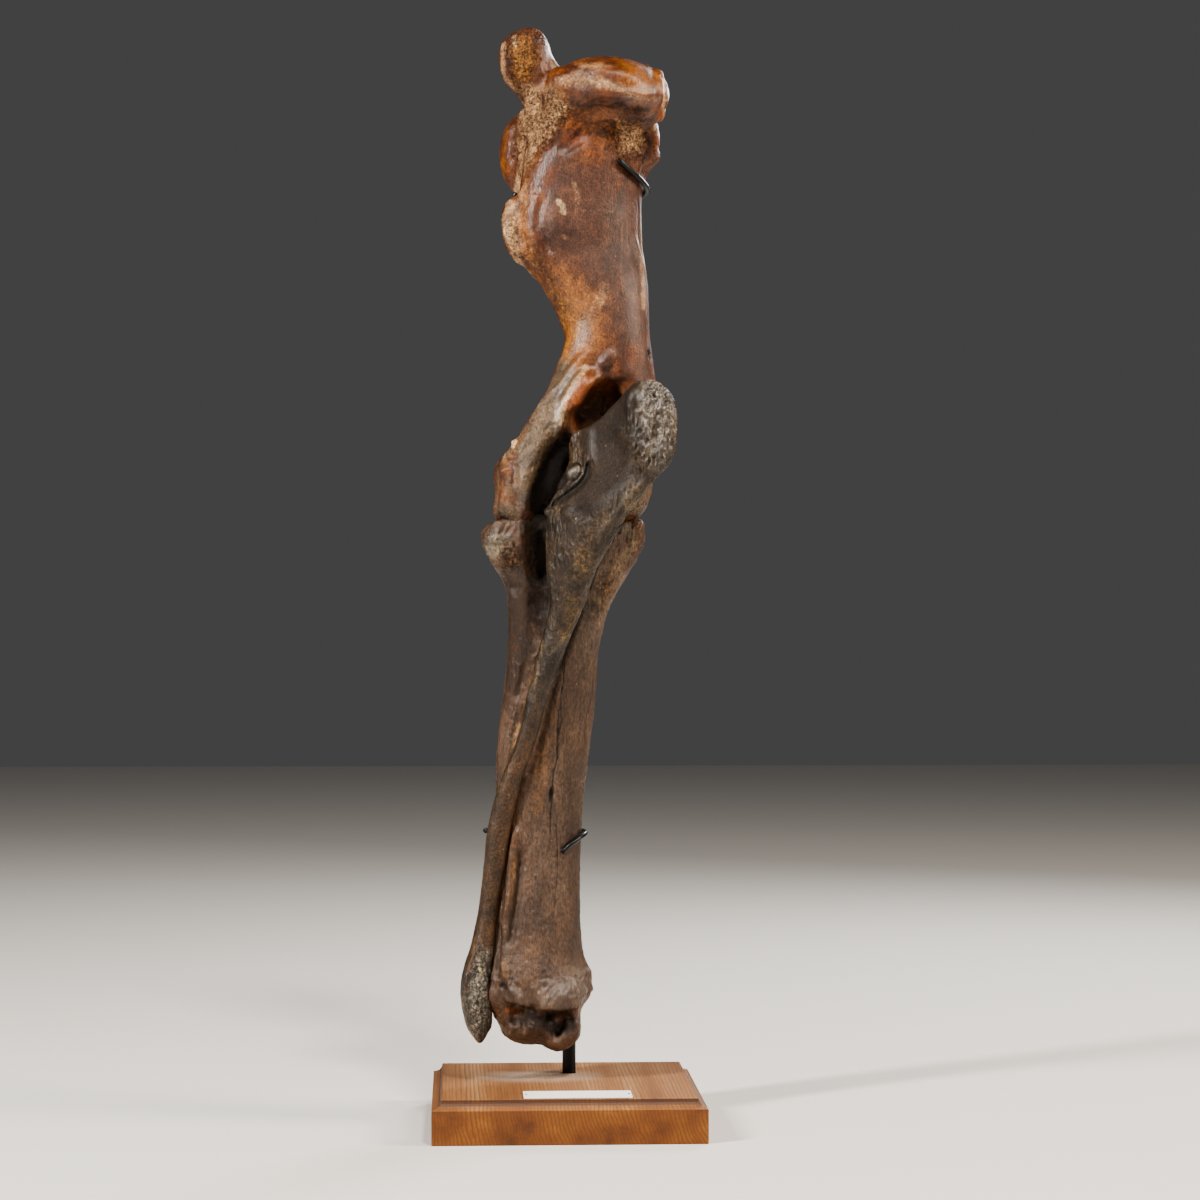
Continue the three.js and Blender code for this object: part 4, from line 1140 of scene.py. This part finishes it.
# ---- Label ----
# A strip of thin white card laid on the base in front of the bones, held by the pins below.
CARD_CORNER_MM = 0.8
label_low, label_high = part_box("label")
card = bmesh.new()
bmesh.ops.create_cube(card, size=1.0)
bmesh.ops.scale(card, verts=card.verts, vec=Vector(label_high) - Vector(label_low))
bmesh.ops.translate(card, verts=card.verts, vec=(Vector(label_high) + Vector(label_low)) / 2)
bmesh.ops.bevel(card, geom=[e for e in card.edges if abs(e.verts[0].co.z - e.verts[1].co.z) > 0.1 * MM],
                offset=CARD_CORNER_MM * MM, offset_type="OFFSET", segments=4, profile=0.5, affect="EDGES",
                clamp_overlap=True, material=-1)
label = in_order(make_object(card, "label_strip"))
paper, shader, add = new_material("matt_white_card")
felt = add("TexNoise", {"Vector": add("TexCoord", give="Object"), "Scale": per_mm(2.5), "Detail": 6.0,
                        "Roughness": 0.7})
feed(shader, {"Base Color": add("ValToRGB", {"Fac": felt}, stops=[(0.3, "#e4e2dc"), (0.7, "#f3f2ee")]),
              "Roughness": 0.6})
label.data.materials.append(paper)
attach(label, "root")
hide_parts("label")

# ---- Label pins ----
# Two small blued steel pins, pushed through the card into the wood, with low domed heads.
PIN_HEAD_MM = 1.7
PIN_RISE_MM = 0.45
PIN_FROM_END_MM = 1.9
pins = bmesh.new()
for end, inward in [(label_low[0], 1), (label_high[0], -1)]:
    head = bmesh.ops.create_uvsphere(pins, u_segments=24, v_segments=12, radius=PIN_HEAD_MM / 2 * MM)["verts"]
    for v in head:
        v.co.z *= PIN_RISE_MM / (PIN_HEAD_MM / 2)
    middle = (end + inward * PIN_FROM_END_MM * MM, (label_low[1] + label_high[1]) / 2, label_high[2])
    bmesh.ops.translate(pins, verts=head, vec=middle)
pin_heads = in_order(make_object(pins, "label_pins"))
pin_heads.data.shade_smooth()
pin_heads.data.materials.append(steel_black)
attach(pin_heads, "root")

# ---- Studio ----
# A plain pale floor under a soft key from the upper right, a long strip from the left and a weak
# light behind, in a dim pale room.
FLOOR_HALF_M = 6.0
ROOM_LIGHT = 0.09
AIM = Vector((0.0, 0.0, 0.42))
floor_grid = bmesh.new()
bmesh.ops.create_grid(floor_grid, x_segments=1, y_segments=1, size=FLOOR_HALF_M)
floor = make_object(floor_grid, "floor")
floor_paint, shader, add = new_material("pale_floor")
feed(shader, {"Base Color": linear("#d8d6d2"), "Roughness": 0.8})
floor.data.materials.append(floor_paint)

for name, at, size, power, tone in [
    ("key", (2.25, -0.65, 1.5), (0.8, 0.8), 66, "#fff1e0"),
    ("high", (0.5, -1.5, 2.2), (0.3, 0.3), 46, "#fff6ea"),
    ("strip", (-1.7, -1.2, 1.5), (0.15, 0.7), 85, "#fffaf4"),
    ("back", (0.9, 1.4, 1.3), (0.6, 0.6), 20, "#ffffff"),
]:
    light = bpy.data.lights.new(name, "AREA")
    light.shape = "RECTANGLE"
    light.size, light.size_y = size
    light.energy = power
    light.color = linear(tone)[:3]
    lamp = bpy.data.objects.new(name, light)
    lamp.location = at
    lamp.rotation_euler = (AIM - Vector(at)).to_track_quat("-Z", "Y").to_euler()
    bpy.context.collection.objects.link(lamp)
world = bpy.data.worlds.new("studio")
world.use_nodes = True
feed(world.node_tree.nodes["Background"], {"Color": linear("#e8e8ea"), "Strength": ROOM_LIGHT})
bpy.context.scene.world = world
bpy.context.scene.view_settings.look = "AgX - Medium High Contrast"
